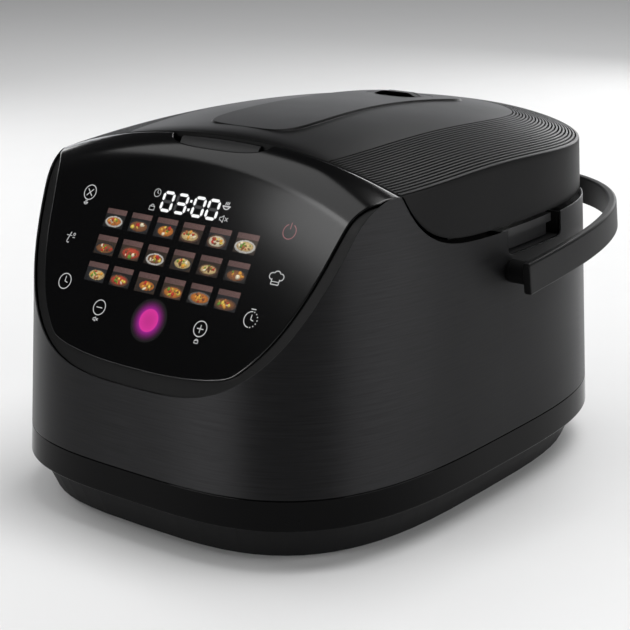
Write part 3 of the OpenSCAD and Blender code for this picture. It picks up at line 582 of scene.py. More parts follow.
def make_jacket():
    tip = LID_FRONT / half_d(TIP_Z)
    marks = [plan_angle(-tip, True), plan_angle(-tip, False)]
    inset = SOCKET_ROUND * (1 - np.cos(np.linspace(0.15, np.pi / 2, 9)))
    inset = np.concatenate([[-1e-3, 1e-3], inset])
    places = np.concatenate([SOCKET_Y[0] + inset, SOCKET_Y[1] - inset])
    notch = [plan_angle(y / half_d(SOCKET_MID_Z), True) for y in places]
    t = np.concatenate([angles_at(JACKET_COLS), marks, [marks[0] - SPLIT, marks[1] + SPLIT], notch])
    t = np.unique(t % (2 * np.pi))
    top = jacket_top(t)
    depth = half_d(SOCKET_MID_Z) * plan_factors(t)[1]
    end = np.minimum(depth - SOCKET_Y[0], SOCKET_Y[1] - depth)
    in_notch = (end > 0) & (np.cos(t) > 0)
    top = np.where(in_notch, np.minimum(top, SOCKET_Z + edge_drop(end, SOCKET_ROUND)), top)
    r = JACKET_EDGE_R
    low = np.full_like(t, HOUSING_Z)
    foot = low + JACKET_FOOT
    layers = [(-JACKET_FOOT, low), (-0.15, low + 0.12), (0.0, foot)]
    layers += [(0.0, foot + g * (top - r - 1.0 - foot)) for g in np.linspace(0.01, 1, JACKET_ROWS)]
    layers += [(-r * (1 - math.cos(a)), top - r + r * math.sin(a)) for a in quarter(EDGE_STEPS)]
    layers += [(-JACKET_T + r * math.cos(a), top - r + r * math.cos(a)) for a in quarter(EDGE_STEPS)[1:]]
    layers += [(-JACKET_T, z) for z in (top - 3.0, low + 2.0, low)]
    pts = np.stack([wall_points(t, z, out) for out, z in layers])
    rows, cols = pts.shape[:2]
    along = np.interp(t, _t, _len)
    uv = np.stack([np.broadcast_to(along * 0.001, (rows, cols)), pts[..., 2] * 0.001], -1)
    faces = grid_faces(rows, cols, closed=True)
    flat = pts.reshape(-1, 3)
    x, y, z = flat[faces].mean(1).T
    inlet = (y > 100) & (np.abs(x) < INLET_HALF[0]) & (np.abs(z - INLET_Z) < INLET_HALF[1])
    ob = new_mesh("jacket_skin", flat, faces[~inlet], uv=uv.reshape(-1, 2), sharp=50)
    dress(even_shading(ob), "body", "jacket_metal", "housing")


make_jacket()

# Gloss band
BAND_COLS = 420
BAND_LEDGE = 8.0
BAND_T = 2.5
BAND_MID = 33.0
BAND_ROUND = (0, 1.6, 0, 0.8, 0.3, 0, 0)


def make_band():
    """Closed ring: a profile of outward and upward sizes carried round the plan outline."""
    profile = [(-BAND_LEDGE, BASE_H), (0, BASE_H), (0, BAND_MID), (0, HOUSING_Z), (-BAND_T, HOUSING_Z),
               (-BAND_T, BASE_H + BAND_T), (-BAND_LEDGE, BASE_H + BAND_T)]
    t = angles_at(BAND_COLS)
    rings = [wall_points(t, np.full_like(t, z), out) for out, z in round_profile(profile, BAND_ROUND)]
    n = len(rings)
    faces = grid_faces(n + 1, BAND_COLS, closed=True) % (n * BAND_COLS)
    ob = new_mesh("band_ring", np.vstack(rings), faces, sharp=45)
    dress(even_shading(ob), "body", "gloss_black", "base_band")


make_band()

# Glass panel
SLOPE_RANGE = (60.0, 190.0)
NOTCH_HALF = 37.0
NOTCH_DEPTH = 9.2
NOTCH_POWER = 2.6
NOTCH_WALL = 1.1
GLASS_WALL = 3.0
GLASS_REACH = 150.0
GLASS_SPREAD = 2.2
SIDE_STEPS = 420
REAR_STEPS = 60
NOTCH_STEPS = 161
GLASS_CLEAR = 0.2
GLASS_STEP = 1.1
GLASS_GRID = 2.2
GLASS_EDGE_R = 0.8
GLASS_INSETS = (0.08, 0.22, 0.45, 0.7, 1.0, 1.6, 2.4)
STEEPEST = math.radians(80)


def slope_of(x, y_line):
    """Place up the slope where the skin reaches a depth y."""
    return last_true(lambda s: off_panel(x, s, skin_n(x, s))[..., 1] < y_line, x, SLOPE_RANGE)


def glass_outline():
    """Edge of the glass on the slope: its sides, and its rear edge with the crescent."""
    s = BORDER_FOOT + GLASS_REACH * np.linspace(0, 1, SIDE_STEPS) ** GLASS_SPREAD
    half = glass_half(s)
    p = off_panel(half, s, skin_n(half, s))
    half = np.minimum(half, wall_x(p[:, 1], p[:, 2]) - JACKET_CAD_T - GLASS_CLEAR)
    p = off_panel(half, s, skin_n(half, s))
    side = np.stack([half, s], 1)[p[:, 1] < -GLASS_REAR]
    inner = NOTCH_HALF * np.cos(np.linspace(0, np.pi, NOTCH_STEPS))
    outer = np.linspace(side[-1, 0], NOTCH_HALF, REAR_STEPS, endpoint=False)[1:]
    x = np.concatenate([outer, inner, -outer[::-1]])
    share = np.minimum(1, np.abs(x) / NOTCH_HALF)
    notch = NOTCH_DEPTH * (1 - share ** NOTCH_POWER) ** (1 / NOTCH_POWER)
    rear = np.stack([x, slope_of(x, -GLASS_REAR - notch)], 1)
    loop = np.vstack([side, rear, side[:0:-1] * MIRROR])
    gap = np.hypot(*(loop - np.roll(loop, -1, 0)).T)
    return loop[gap > 0.05]


def resample(loop, step):
    closed = np.vstack([loop, loop[:1]])
    run = np.concatenate([[0], np.cumsum(np.hypot(*np.diff(closed, axis=0).T))])
    k = np.linspace(0, run[-1], int(run[-1] / step), endpoint=False)
    return np.stack([np.interp(k, run, closed[:, 0]), np.interp(k, run, closed[:, 1])], 1)


def make_glass():
    loop = resample(glass_outline(), GLASS_STEP)
    co, tris = fill_patch(loop, [], [shrink(loop, d) for d in GLASS_INSETS], GLASS_GRID)
    x, s = co.T
    dist = distance(loop, co)
    verts = off_panel(x, s, skin_n(x, s) - edge_drop(dist, GLASS_EDGE_R))
    at_notch = (np.abs(loop[:, 0]) < NOTCH_HALF + 1) & (loop[:, 1] > CURL_START - 10)
    drop = np.where(at_notch, NOTCH_WALL, GLASS_WALL)
    low = off_panel(*loop.T, skin_n(*loop.T) - drop)
    rim = nearest(loop, co)
    foot = len(verts) + np.arange(len(loop))
    wall = np.stack([rim, foot, np.roll(foot, -1), np.roll(rim, -1)], 1)
    # normals of the skin, leaned outwards over the rounded edge
    eps = 0.05
    gx = skin_n(x + eps, s) - skin_n(x - eps, s)
    gs = skin_n(x, s + eps) - skin_n(x, s - eps)
    near = nearest(co, loop)
    away = loop[near] - co
    size = np.maximum(np.linalg.norm(away, axis=1), 1e-6)[:, None]
    course = np.roll(loop, -1, 0) - np.roll(loop, 1, 0)
    side = unit(np.stack([course[:, 1], -course[:, 0]], 1))
    away = np.where(size > 0.02, away / size, side[near])
    lean = np.minimum(np.arcsin(np.clip(1 - dist / GLASS_EDGE_R, 0, 1)), STEEPEST)
    slant = np.stack([gx, gs], 1) / (2 * eps) - away * np.tan(lean)[:, None]
    n = unit(np.column_stack([-slant, np.ones(len(co))]))
    n = np.stack([n[:, 0], n[:, 1] * CA - n[:, 2] * SA, n[:, 1] * SA + n[:, 2] * CA], 1)
    ob = new_mesh("panel_glass", np.vstack([verts, low]), list(tris) + list(wall),
                  normals=np.vstack([n, n[rim]]))
    dress(ob, "body", "panel_gloss", "control_panel")


make_glass()

# Lid
CURL_RANGE = (40.0, 420.0)
RIB_FIRST = 1.6
RIB_PITCH = 2.4
RIB_COUNT = 20
RIB_END = RIB_FIRST + RIB_PITCH * RIB_COUNT
RIB_REAR = 0.44
RIB_DEEP = 1.5
RIB_SLOT = 1.3
RIB_FADE = 1.5
RIB_STEP = 0.2
RING_SIDE = 64
RING_REAR = 150
LID_EDGE_R = 0.8
LID_LIP = 0.8
SKIRT_RISE = 1.4
SKIRT_R = 0.5
SKIRT_ROWS = 14
FRONT_STEPS = 130
LID_Y0 = -LID_FRONT + SEAM_GAP
LID_GRID = 2.0
LINING_REACH = 118.0
LINING_ROWS = 14
CREST_LIFT = 0.15
CREST_FLAT = 0.35
CREST_EASE = 1.2
CREST_RINGS = (0.35, 0.7, 1.2)
WELL_R = VALVE_R + 0.2
RIM_COLS = 120
WELL_DROPS = (0.0, 6.0, 34.0)


def curl_z(x, y):
    """Height of the panel's curl over a place in plan."""
    s = last_true(lambda s: FOOT_Y + s * CA - curl_n(x, s) * SA < y, x, CURL_RANGE)
    return FOOT_Z + s * SA + curl_n(x, s) * CA


def lid_z(x, y):
    """Height of the lid's top: the dome, which the panel's curl takes over at the front."""
    x, y = np.broadcast_arrays(np.asarray(x, float), np.asarray(y, float))
    return soft_min(dome_z(x, y), curl_z(x, y))


def crest_loop():
    """Outline of the raised middle of the lid: rounded ends and sides that draw in slightly."""
    right = np.array([(0.0, -75.6), (6, -75.6), (13, -75.4), (19, -75), (24.5, -73.6), (28.3, -70.6),
                      (30.6, -66), (31.9, -60), (32.4, -52), (32.3, -42), (31.8, -30), (31, -16), (30.2, -2),
                      (29.6, 14), (29.4, 30), (29.6, 46), (30.2, 62), (31.2, 78), (32.4, 92), (33, 104),
                      (32, 112), (28.5, 117.4), (22, 119.6), (12, 120.2), (0, 120.3)])
    run = np.concatenate([[0], np.cumsum(np.hypot(*np.diff(right, axis=0).T))])
    k = np.linspace(0, run[-1], 160)
    side = np.stack([np.interp(k, run, right[:, 0]), np.interp(k, run, right[:, 1])], 1)
    for _ in range(6):
        side[1:-1] = (side[:-2] + 2 * side[1:-1] + side[2:]) / 4
    return np.vstack([side, side[-2:0:-1] * MIRROR])


CREST = crest_loop()


def island_z(p):
    """Height of the lid's smooth middle, with its raised and flatter crest."""
    d = distance(CREST, p)
    k = ease(0.5 + np.where(inside(CREST, p), d, -d) / CREST_EASE)
    side = lid_z(*p.T)
    flat = lid_z(CREST_FLAT * p[:, 0], p[:, 1]) + CREST_LIFT
    return side + k * (flat - side)


def rib_cut(e, y):
    """Depth of the grooves between the ribs at a distance e from the lid's edge."""
    k = np.clip((e - RIB_FIRST) / RIB_PITCH, 0, RIB_COUNT)
    off = np.abs(k - np.floor(k) - 0.5) * RIB_PITCH
    wave = np.where(off < RIB_SLOT / 2, 0.5 + 0.5 * np.cos(2 * np.pi * off / RIB_SLOT), 0.0)
    return RIB_DEEP * wave * np.clip((y - LID_Y0) / RIB_FADE, 0, 1)


def lid_ring(e, z_edge):
    """Plan points at a distance e inside the lid's edge, from front right round the rear to front left."""
    w = half_w(z_edge) - LID_INSET
    d = half_d(z_edge) - LID_INSET
    y0 = LID_Y0
    for _ in range(8):
        x0 = oval_x(np.array(y0), w[0], d[0]) - e
        z0 = float(lid_z(x0, y0)) - edge_drop(e, LID_EDGE_R)
        y0 = max(LID_Y0, LID_Y0 + SEAM_RUN * math.log(SEAM_RISE / max(z0 - SEAM_GAP - SEAM_H, 1)))
    y = y0 * (1 - np.linspace(0, 1, RING_SIDE, endpoint=False))
    right = np.stack([oval_x(y, w[:RING_SIDE], d[:RING_SIDE]) - e, y], 1)
    fx, fy = plan_factors(angles_at(RING_REAR, 0, np.pi, ends=True))
    mid = slice(RING_SIDE, RING_SIDE + RING_REAR)
    rear = np.stack([(w[mid] - e) * fx, (d[mid] - RIB_REAR * e) * fy], 1)
    return np.vstack([right, rear, right[::-1] * MIRROR])


def lid_edge():
    """Heights of the lid's edge, which lies on the drafted wall and just under the dome."""
    z = np.full(2 * RING_SIDE + RING_REAR, TIP_Z)
    for _ in range(6):
        p = lid_ring(0.0, z)
        z = lid_z(*p.T) - LID_EDGE_R
    return z


def make_lid():
    z_edge = lid_edge()
    cols = len(z_edge)
    steps = np.concatenate([np.linspace(0, LID_EDGE_R, 7)[:-1],
                            np.arange(LID_EDGE_R, RIB_END + 0.01, RIB_STEP), [RIB_END + 0.5]])
    rings = []
    for e in steps:
        p = lid_ring(e, z_edge)
        z = lid_z(*p.T) - edge_drop(e, LID_EDGE_R)
        rings.append(np.column_stack([p, z - rib_cut(e, p[:, 1])]))
    x, y, z = rings[0].T
    low = np.minimum(seam_z(y - SEAM_GAP) + SEAM_GAP + SKIRT_RISE, z - 0.3)

    def skirt(level, inset):
        w = half_w(level) - LID_INSET - inset
        d = half_d(level) - LID_INSET - inset
        return np.column_stack([w * x / (half_w(z) - LID_INSET), d * y / (half_d(z) - LID_INSET), level])

    walls = [skirt(np.maximum(z - LID_T, low + 0.8), LID_T)]
    for up, inset in ((0.6, LID_T), (0, LID_T - SKIRT_R), (0, SKIRT_R), (0.15, 0.15)):
        walls.append(skirt(low + up, inset))
    for g in np.linspace(0, 1, SKIRT_ROWS)[:-1]:
        walls.append(skirt(low + SKIRT_R + g * (z - low - SKIRT_R), 0.0))
    stack = np.stack(walls + rings)
    verts = stack.reshape(-1, 3)
    faces = list(grid_faces(len(stack), cols))
    # smooth island inside the ribs
    loop = rings[-1][:, :2]
    k = np.linspace(0, 1, FRONT_STEPS)[1:-1]
    front = np.column_stack([loop[-1, 0] + (loop[0, 0] - loop[-1, 0]) * k, np.full(len(k), loop[0, 1])])
    a = circle(RIM_COLS)
    well = np.stack([WELL_R * np.cos(a), VALVE_Y + WELL_R * np.sin(a)], 1)
    more = [CREST] + [shrink(CREST, d) for d in CREST_RINGS] + [shrink(CREST[::-1], -d) for d in CREST_RINGS]
    more = [m[~inside(well, m) & (distance(well, m) > 0.6)] for m in more]
    co, tris = fill_patch(np.vstack([loop, front]), [well], more, LID_GRID)
    faces += list(tris + len(verts))
    verts = np.vstack([verts, np.column_stack([co, island_z(co)])])
    # wall and floor of the valve's well
    rim = island_z(well)
    faces += list(grid_faces(len(WELL_DROPS), RIM_COLS, closed=True, flip=True, start=len(verts)))
    verts = np.vstack([verts] + [np.column_stack([well, rim - drop]) for drop in WELL_DROPS])
    faces.append(range(len(verts) - RIM_COLS, len(verts)))
    # front face of the lid, from its edge down to the seam's start
    front = front[::-1]
    arc = np.vstack([[r[0] for r in rings], np.column_stack([front, lid_z(*front.T)]),
                     [r[-1] for r in rings[::-1]]])
    rows = [arc - np.array([0, LID_LIP * math.sin(a), LID_LIP * (1 - math.cos(a))]) for a in quarter(4)]
    foot = rows[-1].copy()
    foot[:, 2] = np.minimum(seam_z(-LID_FRONT) + SEAM_GAP, foot[:, 2] - 0.05)
    rows += [foot, foot + np.array([0, LID_T, 0])]
    faces += list(grid_faces(len(rows), len(arc), start=len(verts)))
    verts = np.vstack([verts] + rows)
    # lining
    lining = []
    for e in np.linspace(LID_T, LINING_REACH, LINING_ROWS):
        p = lid_ring(e, z_edge)
        lining.append(np.column_stack([p, lid_z(*p.T) - LID_T]))
    faces += list(grid_faces(len(lining), cols, flip=True, start=len(verts)))
    verts = np.vstack([verts] + lining)
    dress(new_mesh("lid_skin", verts, faces, sharp=38), "lid", "lid_plastic", "lid_cover")


make_lid()

# Steam valve: a cup whose cap swells into a hood over a mouth that blows to the front
MOUTH_Y = VALVE_Y - 5.0
MOUTH_DEEP = 8.0
MOUTH_HALF = 17.0
MOUTH_EASE = 8.0
MOUTH_STEPS = 61
HOOD_RISE = 2.2
HOOD_T = 0.7
TROUGH = 1.9
TROUGH_LEN = 11.0
CAP_DROP = 0.15
CAP_GRID = 1.3
CAP_INSETS = (0.3, 0.9)
CUP_DEEP = 26.0
CUP_RINGS = ((0.4, 0.0), (CUP_DEEP - 1.5, 0.0), (CUP_DEEP - 0.4, 0.5), (CUP_DEEP, 1.5), (CUP_DEEP, 12.0))


def swell(x):
    """Share of the hood's rise and the trough's depth across the mouth."""
    return ease((MOUTH_HALF - np.abs(x)) / MOUTH_EASE)


def make_valve():
    half = math.sqrt(VALVE_R ** 2 - (MOUTH_Y - VALVE_Y) ** 2)
    chord = np.stack([half * np.linspace(-1, 1, MOUTH_STEPS), np.full(MOUTH_STEPS, MOUTH_Y)], 1)
    first = math.atan2(MOUTH_Y - VALVE_Y, half)
    verts, faces = np.zeros((0, 3)), []

    def rim(a):
        return np.stack([VALVE_R * np.cos(a), VALVE_Y + VALVE_R * np.sin(a)], 1)

    def cap(p):
        return island_z(p) - CAP_DROP

    def trough_z(p):
        return cap(p) - TROUGH * swell(p[:, 0]) * ease((p[:, 1] - MOUTH_Y + TROUGH_LEN) / TROUGH_LEN)

    def hood_z(p):
        back = VALVE_Y + np.sqrt(np.maximum(0, VALVE_R ** 2 - p[:, 0] ** 2))
        return cap(p) + HOOD_RISE * swell(p[:, 0]) * ease((back - p[:, 1]) / np.maximum(back - MOUTH_Y, 1e-6))

    for height, last, count in ((trough_z, -math.pi - first, 50), (hood_z, math.pi - first, 70)):
        loop = np.vstack([chord, rim(np.linspace(first, last, count))[1:-1]])
        co, tris = fill_patch(loop, [], [shrink(loop, d) for d in CAP_INSETS], CAP_GRID)
        faces += list(tris + len(verts))
        verts = np.vstack([verts, np.column_stack([co, height(co)])])
    # inside of the mouth
    m = chord[swell(chord[:, 0]) > 0.0]
    m = np.vstack([[[-MOUTH_HALF, MOUTH_Y]], m, [[MOUTH_HALF, MOUTH_Y]]])
    top, bottom = hood_z(m), trough_z(m)
    lip = np.maximum(top - HOOD_T, bottom + 0.15 * (top - bottom))
    deep = m + np.array([0, MOUTH_DEEP])
    rows = ((m, top), (m, lip), (deep, lip - 0.01), (deep, bottom), (m, bottom))
    faces += list(grid_faces(len(rows), len(m), flip=True, start=len(verts)))
    verts = np.vstack([verts] + [np.column_stack(row) for row in rows])
    # wall and floor of the cup
    edge = rim(circle(RIM_COLS))
    z = cap(edge)
    rings = [np.column_stack([edge, z])]
    for drop, inset in CUP_RINGS:
        p = edge + (np.array([0, VALVE_Y]) - edge) * inset / VALVE_R
        rings.append(np.column_stack([p, np.full(RIM_COLS, z.min() - drop)]))
    faces += list(grid_faces(len(rings), RIM_COLS, closed=True, flip=True, start=len(verts)))
    verts = np.vstack([verts] + rings)
    faces.append(range(len(verts) - 1, len(verts) - RIM_COLS - 1, -1))
    dress(new_mesh("valve_cap", verts, faces), "valve", "lid_plastic", "steam_valve")


make_valve()

# Carry handle
HANDLE_COLS = 260
HANDLE_ROUND = (1.2, 1.3, 1.6, 1.2)
END_LEN = 1.2
END_DRAW = 0.22


def make_handle():
    z0, z1 = HANDLE_Z, HANDLE_Z + HANDLE_H
    out, z = round_profile([(0, z0), (HANDLE_T, z0), (HANDLE_T, z1), (0, z1)], HANDLE_ROUND).T
    end = plan_angle((HANDLE_FRONT + END_LEN) / (half_d(HANDLE_Z) + GRIP_GAP), True)
    fx, fy = plan_factors(angles_at(HANDLE_COLS, end, np.pi - end, ends=True)[:, None])
    x, y = (half_w(z) + HANDLE_GAP + out) * fx, (half_d(z) + GRIP_GAP + out) * fy
    pts = np.stack(np.broadcast_arrays(x, y, z), -1)

    def end_rings(ring):
        mid, ahead = ring.mean(0), np.array([0, END_LEN, 0])
        return [mid + (ring - mid) * (1 - END_DRAW * (1 - math.cos(a))) - ahead * math.sin(a)
                for a in quarter(4)[1:]]

    pts = np.vstack([end_rings(pts[0])[::-1], pts, end_rings(pts[-1])])
    n, m = pts.shape[:2]
    x, y, z = (pts.reshape(-1, 3) - np.array([0, PIVOT_Y, PIVOT_Z])).T
    c, s = math.cos(HANDLE_TILT), math.sin(HANDLE_TILT)
    flat = np.column_stack([x, PIVOT_Y + y * c - z * s, PIVOT_Z + y * s + z * c])
    faces = list(grid_faces(n, m, closed=True, flip=True))
    faces += [range(m), range(n * m - 1, (n - 1) * m - 1, -1)]
    ob = even_shading(new_mesh("carry_hoop", flat, faces, sharp=50))
    dress(ob, "handle", "handle_plastic", "carry_handle")


make_handle()

# Springs: coils in the place of the imported tubes
COIL_WIRE = 0.8
COIL_TURNS = 6.0
COIL_FLAT = 0.8
COIL_STEPS = 240
COIL_SIDES = 10


def make_coil(name, node):
    lo, hi = (np.array(v) * 1000 + np.array([0, MIDDLE_Y, 0]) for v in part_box(node))
    mid = (lo + hi) / 2
    length = hi[2] - lo[2]
    turn = np.linspace(0, COIL_TURNS, COIL_STEPS)
    rise = np.clip((turn - COIL_FLAT) / (COIL_TURNS - 2 * COIL_FLAT), 0, 1)
    z = lo[2] + COIL_WIRE / 2 + rise * (length - COIL_WIRE)
    out = np.stack([np.cos(2 * np.pi * turn), np.sin(2 * np.pi * turn)], 1)
    a = circle(COIL_SIDES)
    reach = (hi[0] - lo[0]) / 2 - COIL_WIRE / 2 + COIL_WIRE / 2 * np.cos(a)
    pts = np.concatenate([mid[:2] + out[:, None, :] * reach[None, :, None],
                          (z[:, None] + COIL_WIRE / 2 * np.sin(a))[..., None]], -1)
    n, m = pts.shape[:2]
    faces = list(grid_faces(n, m, closed=True)) + [range(m - 1, -1, -1), range((n - 1) * m, n * m)]
    ob = dress(new_mesh(name, pts.reshape(-1, 3), faces), "body", "steel", node)
    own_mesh(ob)


make_coil("release_coil", "button_spring")
make_coil("sensor_coil", "sensor_spring")

# Panel graphics, lit through the glass; places in millimetres across and up the slope
PRINT_LIFT = 0.03
PRINT_T = 0.1
STROKE = 0.52
FINE = 0.38


def on_glass(x, s):
    return off_panel(x, s, np.full(len(x), PRINT_LIFT))


def print_plate(ob, material):
    """Gives a flat figure on the glass its thickness and its place."""
    ob.data.polygons.foreach_set("use_smooth", np.zeros(len(ob.data.polygons), bool))
    plate = ob.modifiers.new("thickness", "SOLIDIFY")
    plate.thickness = PRINT_T * 0.001
    plate.offset = -1
    dress(ob, "body", "panel_gloss", material=material)


class Sketch:
    """Flat figures on the panel's slope, joined into one thin plate."""

    def __init__(self):
        self.points = []
        self.faces = []

    def shape(self, pts):
        pts = np.asarray(pts, float)
        pts = pts if runs_left(pts) else pts[::-1]
        start = len(self.points)
        self.points += [tuple(q) for q in pts]
        self.faces.append(list(range(start, start + len(pts))))

    def disc(self, at, r):
        a = circle(12)
        self.shape(np.stack([at[0] + r * np.cos(a), at[1] + r * np.sin(a)], 1))

    def line(self, pts, width=STROKE):
        pts = [np.array(q, float) for q in pts]
        for a, b in zip(pts[:-1], pts[1:]):
            along = (b - a) / np.linalg.norm(b - a)
            side = np.array([-along[1], along[0]]) * width / 2
            self.shape([a - side, b - side, b + side, a + side])
        for q in (pts[0], pts[-1]):
            self.disc(q, width / 2)

    def arc(self, at, r, first=0.0, last=360.0, width=STROKE, squeeze=1.0):
        count = max(4, int(abs(last - first) / 8))
        a = np.radians(np.linspace(first, last, count + 1))
        ring = np.stack([np.cos(a), squeeze * np.sin(a)], 1)
        outer, inner = at + ring * (r + width / 2), at + ring * (r - width / 2)
        for i in range(count):
            self.shape([inner[i], outer[i], outer[i + 1], inner[i + 1]])

    def make(self, name, material):
        points = [Vector(q) for q in self.points]
        flat, _, tris, _, _, source = delaunay_2d_cdt(points, [], self.faces, 1, 1e-4, True)
        flat = np.array([tuple(q) for q in flat])
        tris = np.array([t for t, owner in zip(tris, source) if len(owner)])
        used, place = np.unique(face_up(flat, tris), return_inverse=True)
        ob = new_mesh(name, on_glass(*flat[used].T), place.reshape(-1, 3))
        print_plate(ob, material)


SEGMENTS = {"a": (0, 1, 0), "b": (1, 0.5, 1), "c": (1, -0.5, 1), "d": (0, -1, 0), "e": (-1, -0.5, 1),
            "f": (-1, 0.5, 1), "g": (0, 0, 0)}
DIGIT_LIT = {"0": "abcdef", "3": "abcdg"}
DIGIT_W = 7.3
DIGIT_H = 10.9
DIGIT_BAR = 1.85
DIGIT_GAP = 0.32


def draw_digit(lit_sketch, dark_sketch, figure, at):
    for key, (sx, sy, tall) in SEGMENTS.items():
        mid = (at[0] + sx * DIGIT_W / 2, at[1] + sy * DIGIT_H / 2)
        reach = (DIGIT_H / 4 if tall else DIGIT_W / 2) - DIGIT_GAP
        h = DIGIT_BAR / 2
        flat = reach - h
        pts = np.array([(-reach, 0), (-flat, -h), (flat, -h), (reach, 0), (flat, h), (-flat, h)])
        pts = pts[:, ::-1] if tall else pts
        (lit_sketch if key in DIGIT_LIT[figure] else dark_sketch).shape(pts + mid)


def placed(at, size, pts):
    return np.array(at) + size * np.array(pts)


def draw_clock(k, at, r, width=STROKE):
    k.arc(at, r, width=width)
    k.line(placed(at, r, [(0, 0.62), (0, 0), (0.45, -0.12)]), width)


def draw_lock(k, at, size):
    k.line(placed(at, size, [(-1, 0.2), (-1, -1), (1, -1), (1, 0.2), (-1, 0.2)]), FINE)
    k.arc(placed(at, size, (0, 0.2)), 0.62 * size, 0, 180, width=FINE)


def draw_speaker(k, at, size):
    horn = [(-1.3, -0.4), (-0.8, -0.4), (0, -1), (0, 1), (-0.8, 0.4), (-1.3, 0.4), (-1.3, -0.4)]
    k.line(placed(at, size, horn), FINE)
    for turn in (-1, 1):
        k.line(placed(at, size, [(0.6, -0.45 * turn), (1.5, 0.45 * turn)]), FINE)


def draw_bowl(k, at, size):
    k.arc(at, size, 180, 360, width=0.36 * size, squeeze=0.8)
    k.line(placed(at, size, [(-1.2, 0), (1.2, 0)]), 0.36 * size)
    for dx in (-0.5, 0.0, 0.5):
        k.line(placed(at, size, [(dx, 0.5), (dx + 0.15, 1.1)]), 0.26 * size)


white, digits, unlit, power = Sketch(), Sketch(), Sketch(), Sketch()
for figure, x in zip("0300", (-17.2, -6.6, 6.6, 17.2)):
    draw_digit(digits, unlit, figure, (x, 109.2))
for s in (106.6, 111.8):
    digits.shape([(-0.8, s - 0.8), (0.8, s - 0.8), (0.8, s + 0.8), (-0.8, s + 0.8)])
draw_clock(white, (-26.8, 113.4), 2.4, FINE)
draw_lock(white, (-27.3, 104.6), 1.9)
draw_bowl(white, (26.3, 112.4), 2.2)
draw_speaker(white, (26.9, 104.9), 2.1)
# cancel
cancel = np.array([-78.6, 106.6])
white.arc(cancel, 4.6)
for turn in (-1, 1):
    white.line([cancel + (-2.0, -2.0 * turn), cancel + (2.0, 2.0 * turn)])
draw_bowl(white, (-79.3, 100.0), 1.3)
# temperature
white.line([(-82.0, 80.4), (-83.6, 75.2)])
white.arc((-82.6, 75.0), 1.05, 170, 320)
white.line([(-85.0, 78.4), (-80.9, 78.4)], FINE)
white.arc((-79.2, 79.4), 0.7, width=FINE)
white.line([(-79.9, 77.4), (-78.3, 77.4)], FINE)
# clock
draw_clock(white, (-73.9, 50.7), 4.7)
# less and more
less, more = np.array([-40.5, 40.0]), np.array([36.7, 41.3])
for at in (less, more):
    white.arc(at, 4.5)
    white.line([at - (2.1, 0), at + (2.1, 0)])
white.line([more - (0, 2.1), more + (0, 2.1)])
draw_speaker(white, (-40.7, 32.8), 1.3)
draw_lock(white, (36.7, 34.2), 1.3)
# power
on = np.array([74.5, 104.6])
power.arc(on, 4.3, 115, 425, 0.5)
power.line([on + (0, 1.6), on + (0, 5.0)], 0.5)
# cook's cap
cap = np.array([75.9, 77.7])
white.line([cap + (-2.6, -0.6), cap + (-2.6, -3.6), cap + (2.6, -3.6), cap + (2.6, -0.6)])
white.line([cap + (-2.6, -2.0), cap + (2.6, -2.0)], FINE)
white.arc(cap + (-3.0, 1.0), 1.9, 75, 285)
white.arc(cap + (3.0, 1.0), 1.9, -105, 105)
white.arc(cap + (0, 1.9), 2.3, 20, 160)
# timer
timer = np.array([68.2, 52.6])
white.arc(timer, 4.5, 90, 270)
for a in np.radians(np.arange(-75, 90, 25)):
    white.disc(timer + 4.5 * np.array([math.cos(a), math.sin(a)]), 0.38)
white.line([timer + (0, 2.6), timer, timer + (1.8, -0.5)])
white.line([timer + (-1.5, 5.9), timer + (1.5, 5.9)])
white.make("panel_symbols", M["white"])
digits.make("clock_digits", M["digit"])
unlit.make("clock_digits_unlit", M["dim"])
power.make("power_symbol", M["power"])


def coloured(name, pts, faces, colours, material):
    ob = new_mesh(name, pts, faces)
    layer = ob.data.color_attributes.new("Col", "FLOAT_COLOR", "POINT")
    rgba = np.column_stack([colours, np.ones(len(colours))])
    layer.data.foreach_set("color", rgba.astype(np.float32).ravel())
    print_plate(ob, material)


# Start key with its glow
START = (-1.2, 39.2)
START_R = 6.9
START_COLS = 72
START_COLOUR = np.array([0.60, 0.024, 0.28])
GLOW_R = 13.0
GLOW_COLOUR = np.array([0.30, 0.008, 0.24])


def make_start():
    key = np.linspace(0.8, START_R - 0.25, 8)
    radii = np.concatenate([[0.01], key, np.linspace(START_R + 0.05, GLOW_R, 16)])
    a = circle(START_COLS)
    x = START[0] + radii[:, None] * np.cos(a)
    s = START[1] + radii[:, None] * np.sin(a)
    fade = (1 - np.clip((radii - START_R) / (GLOW_R - START_R), 0, 1)) ** 2.2
    halo = fade[:, None] * GLOW_COLOUR
    disc = START_COLOUR * (0.85 + 0.25 * (radii / START_R) ** 2)[:, None]
    colours = np.repeat(np.where((radii < START_R)[:, None], disc, halo), START_COLS, axis=0)
    faces = grid_faces(len(radii), START_COLS, closed=True, flip=True)
    coloured("start_key", on_glass(x.ravel(), s.ravel()), faces, colours, M["glow"])


make_start()

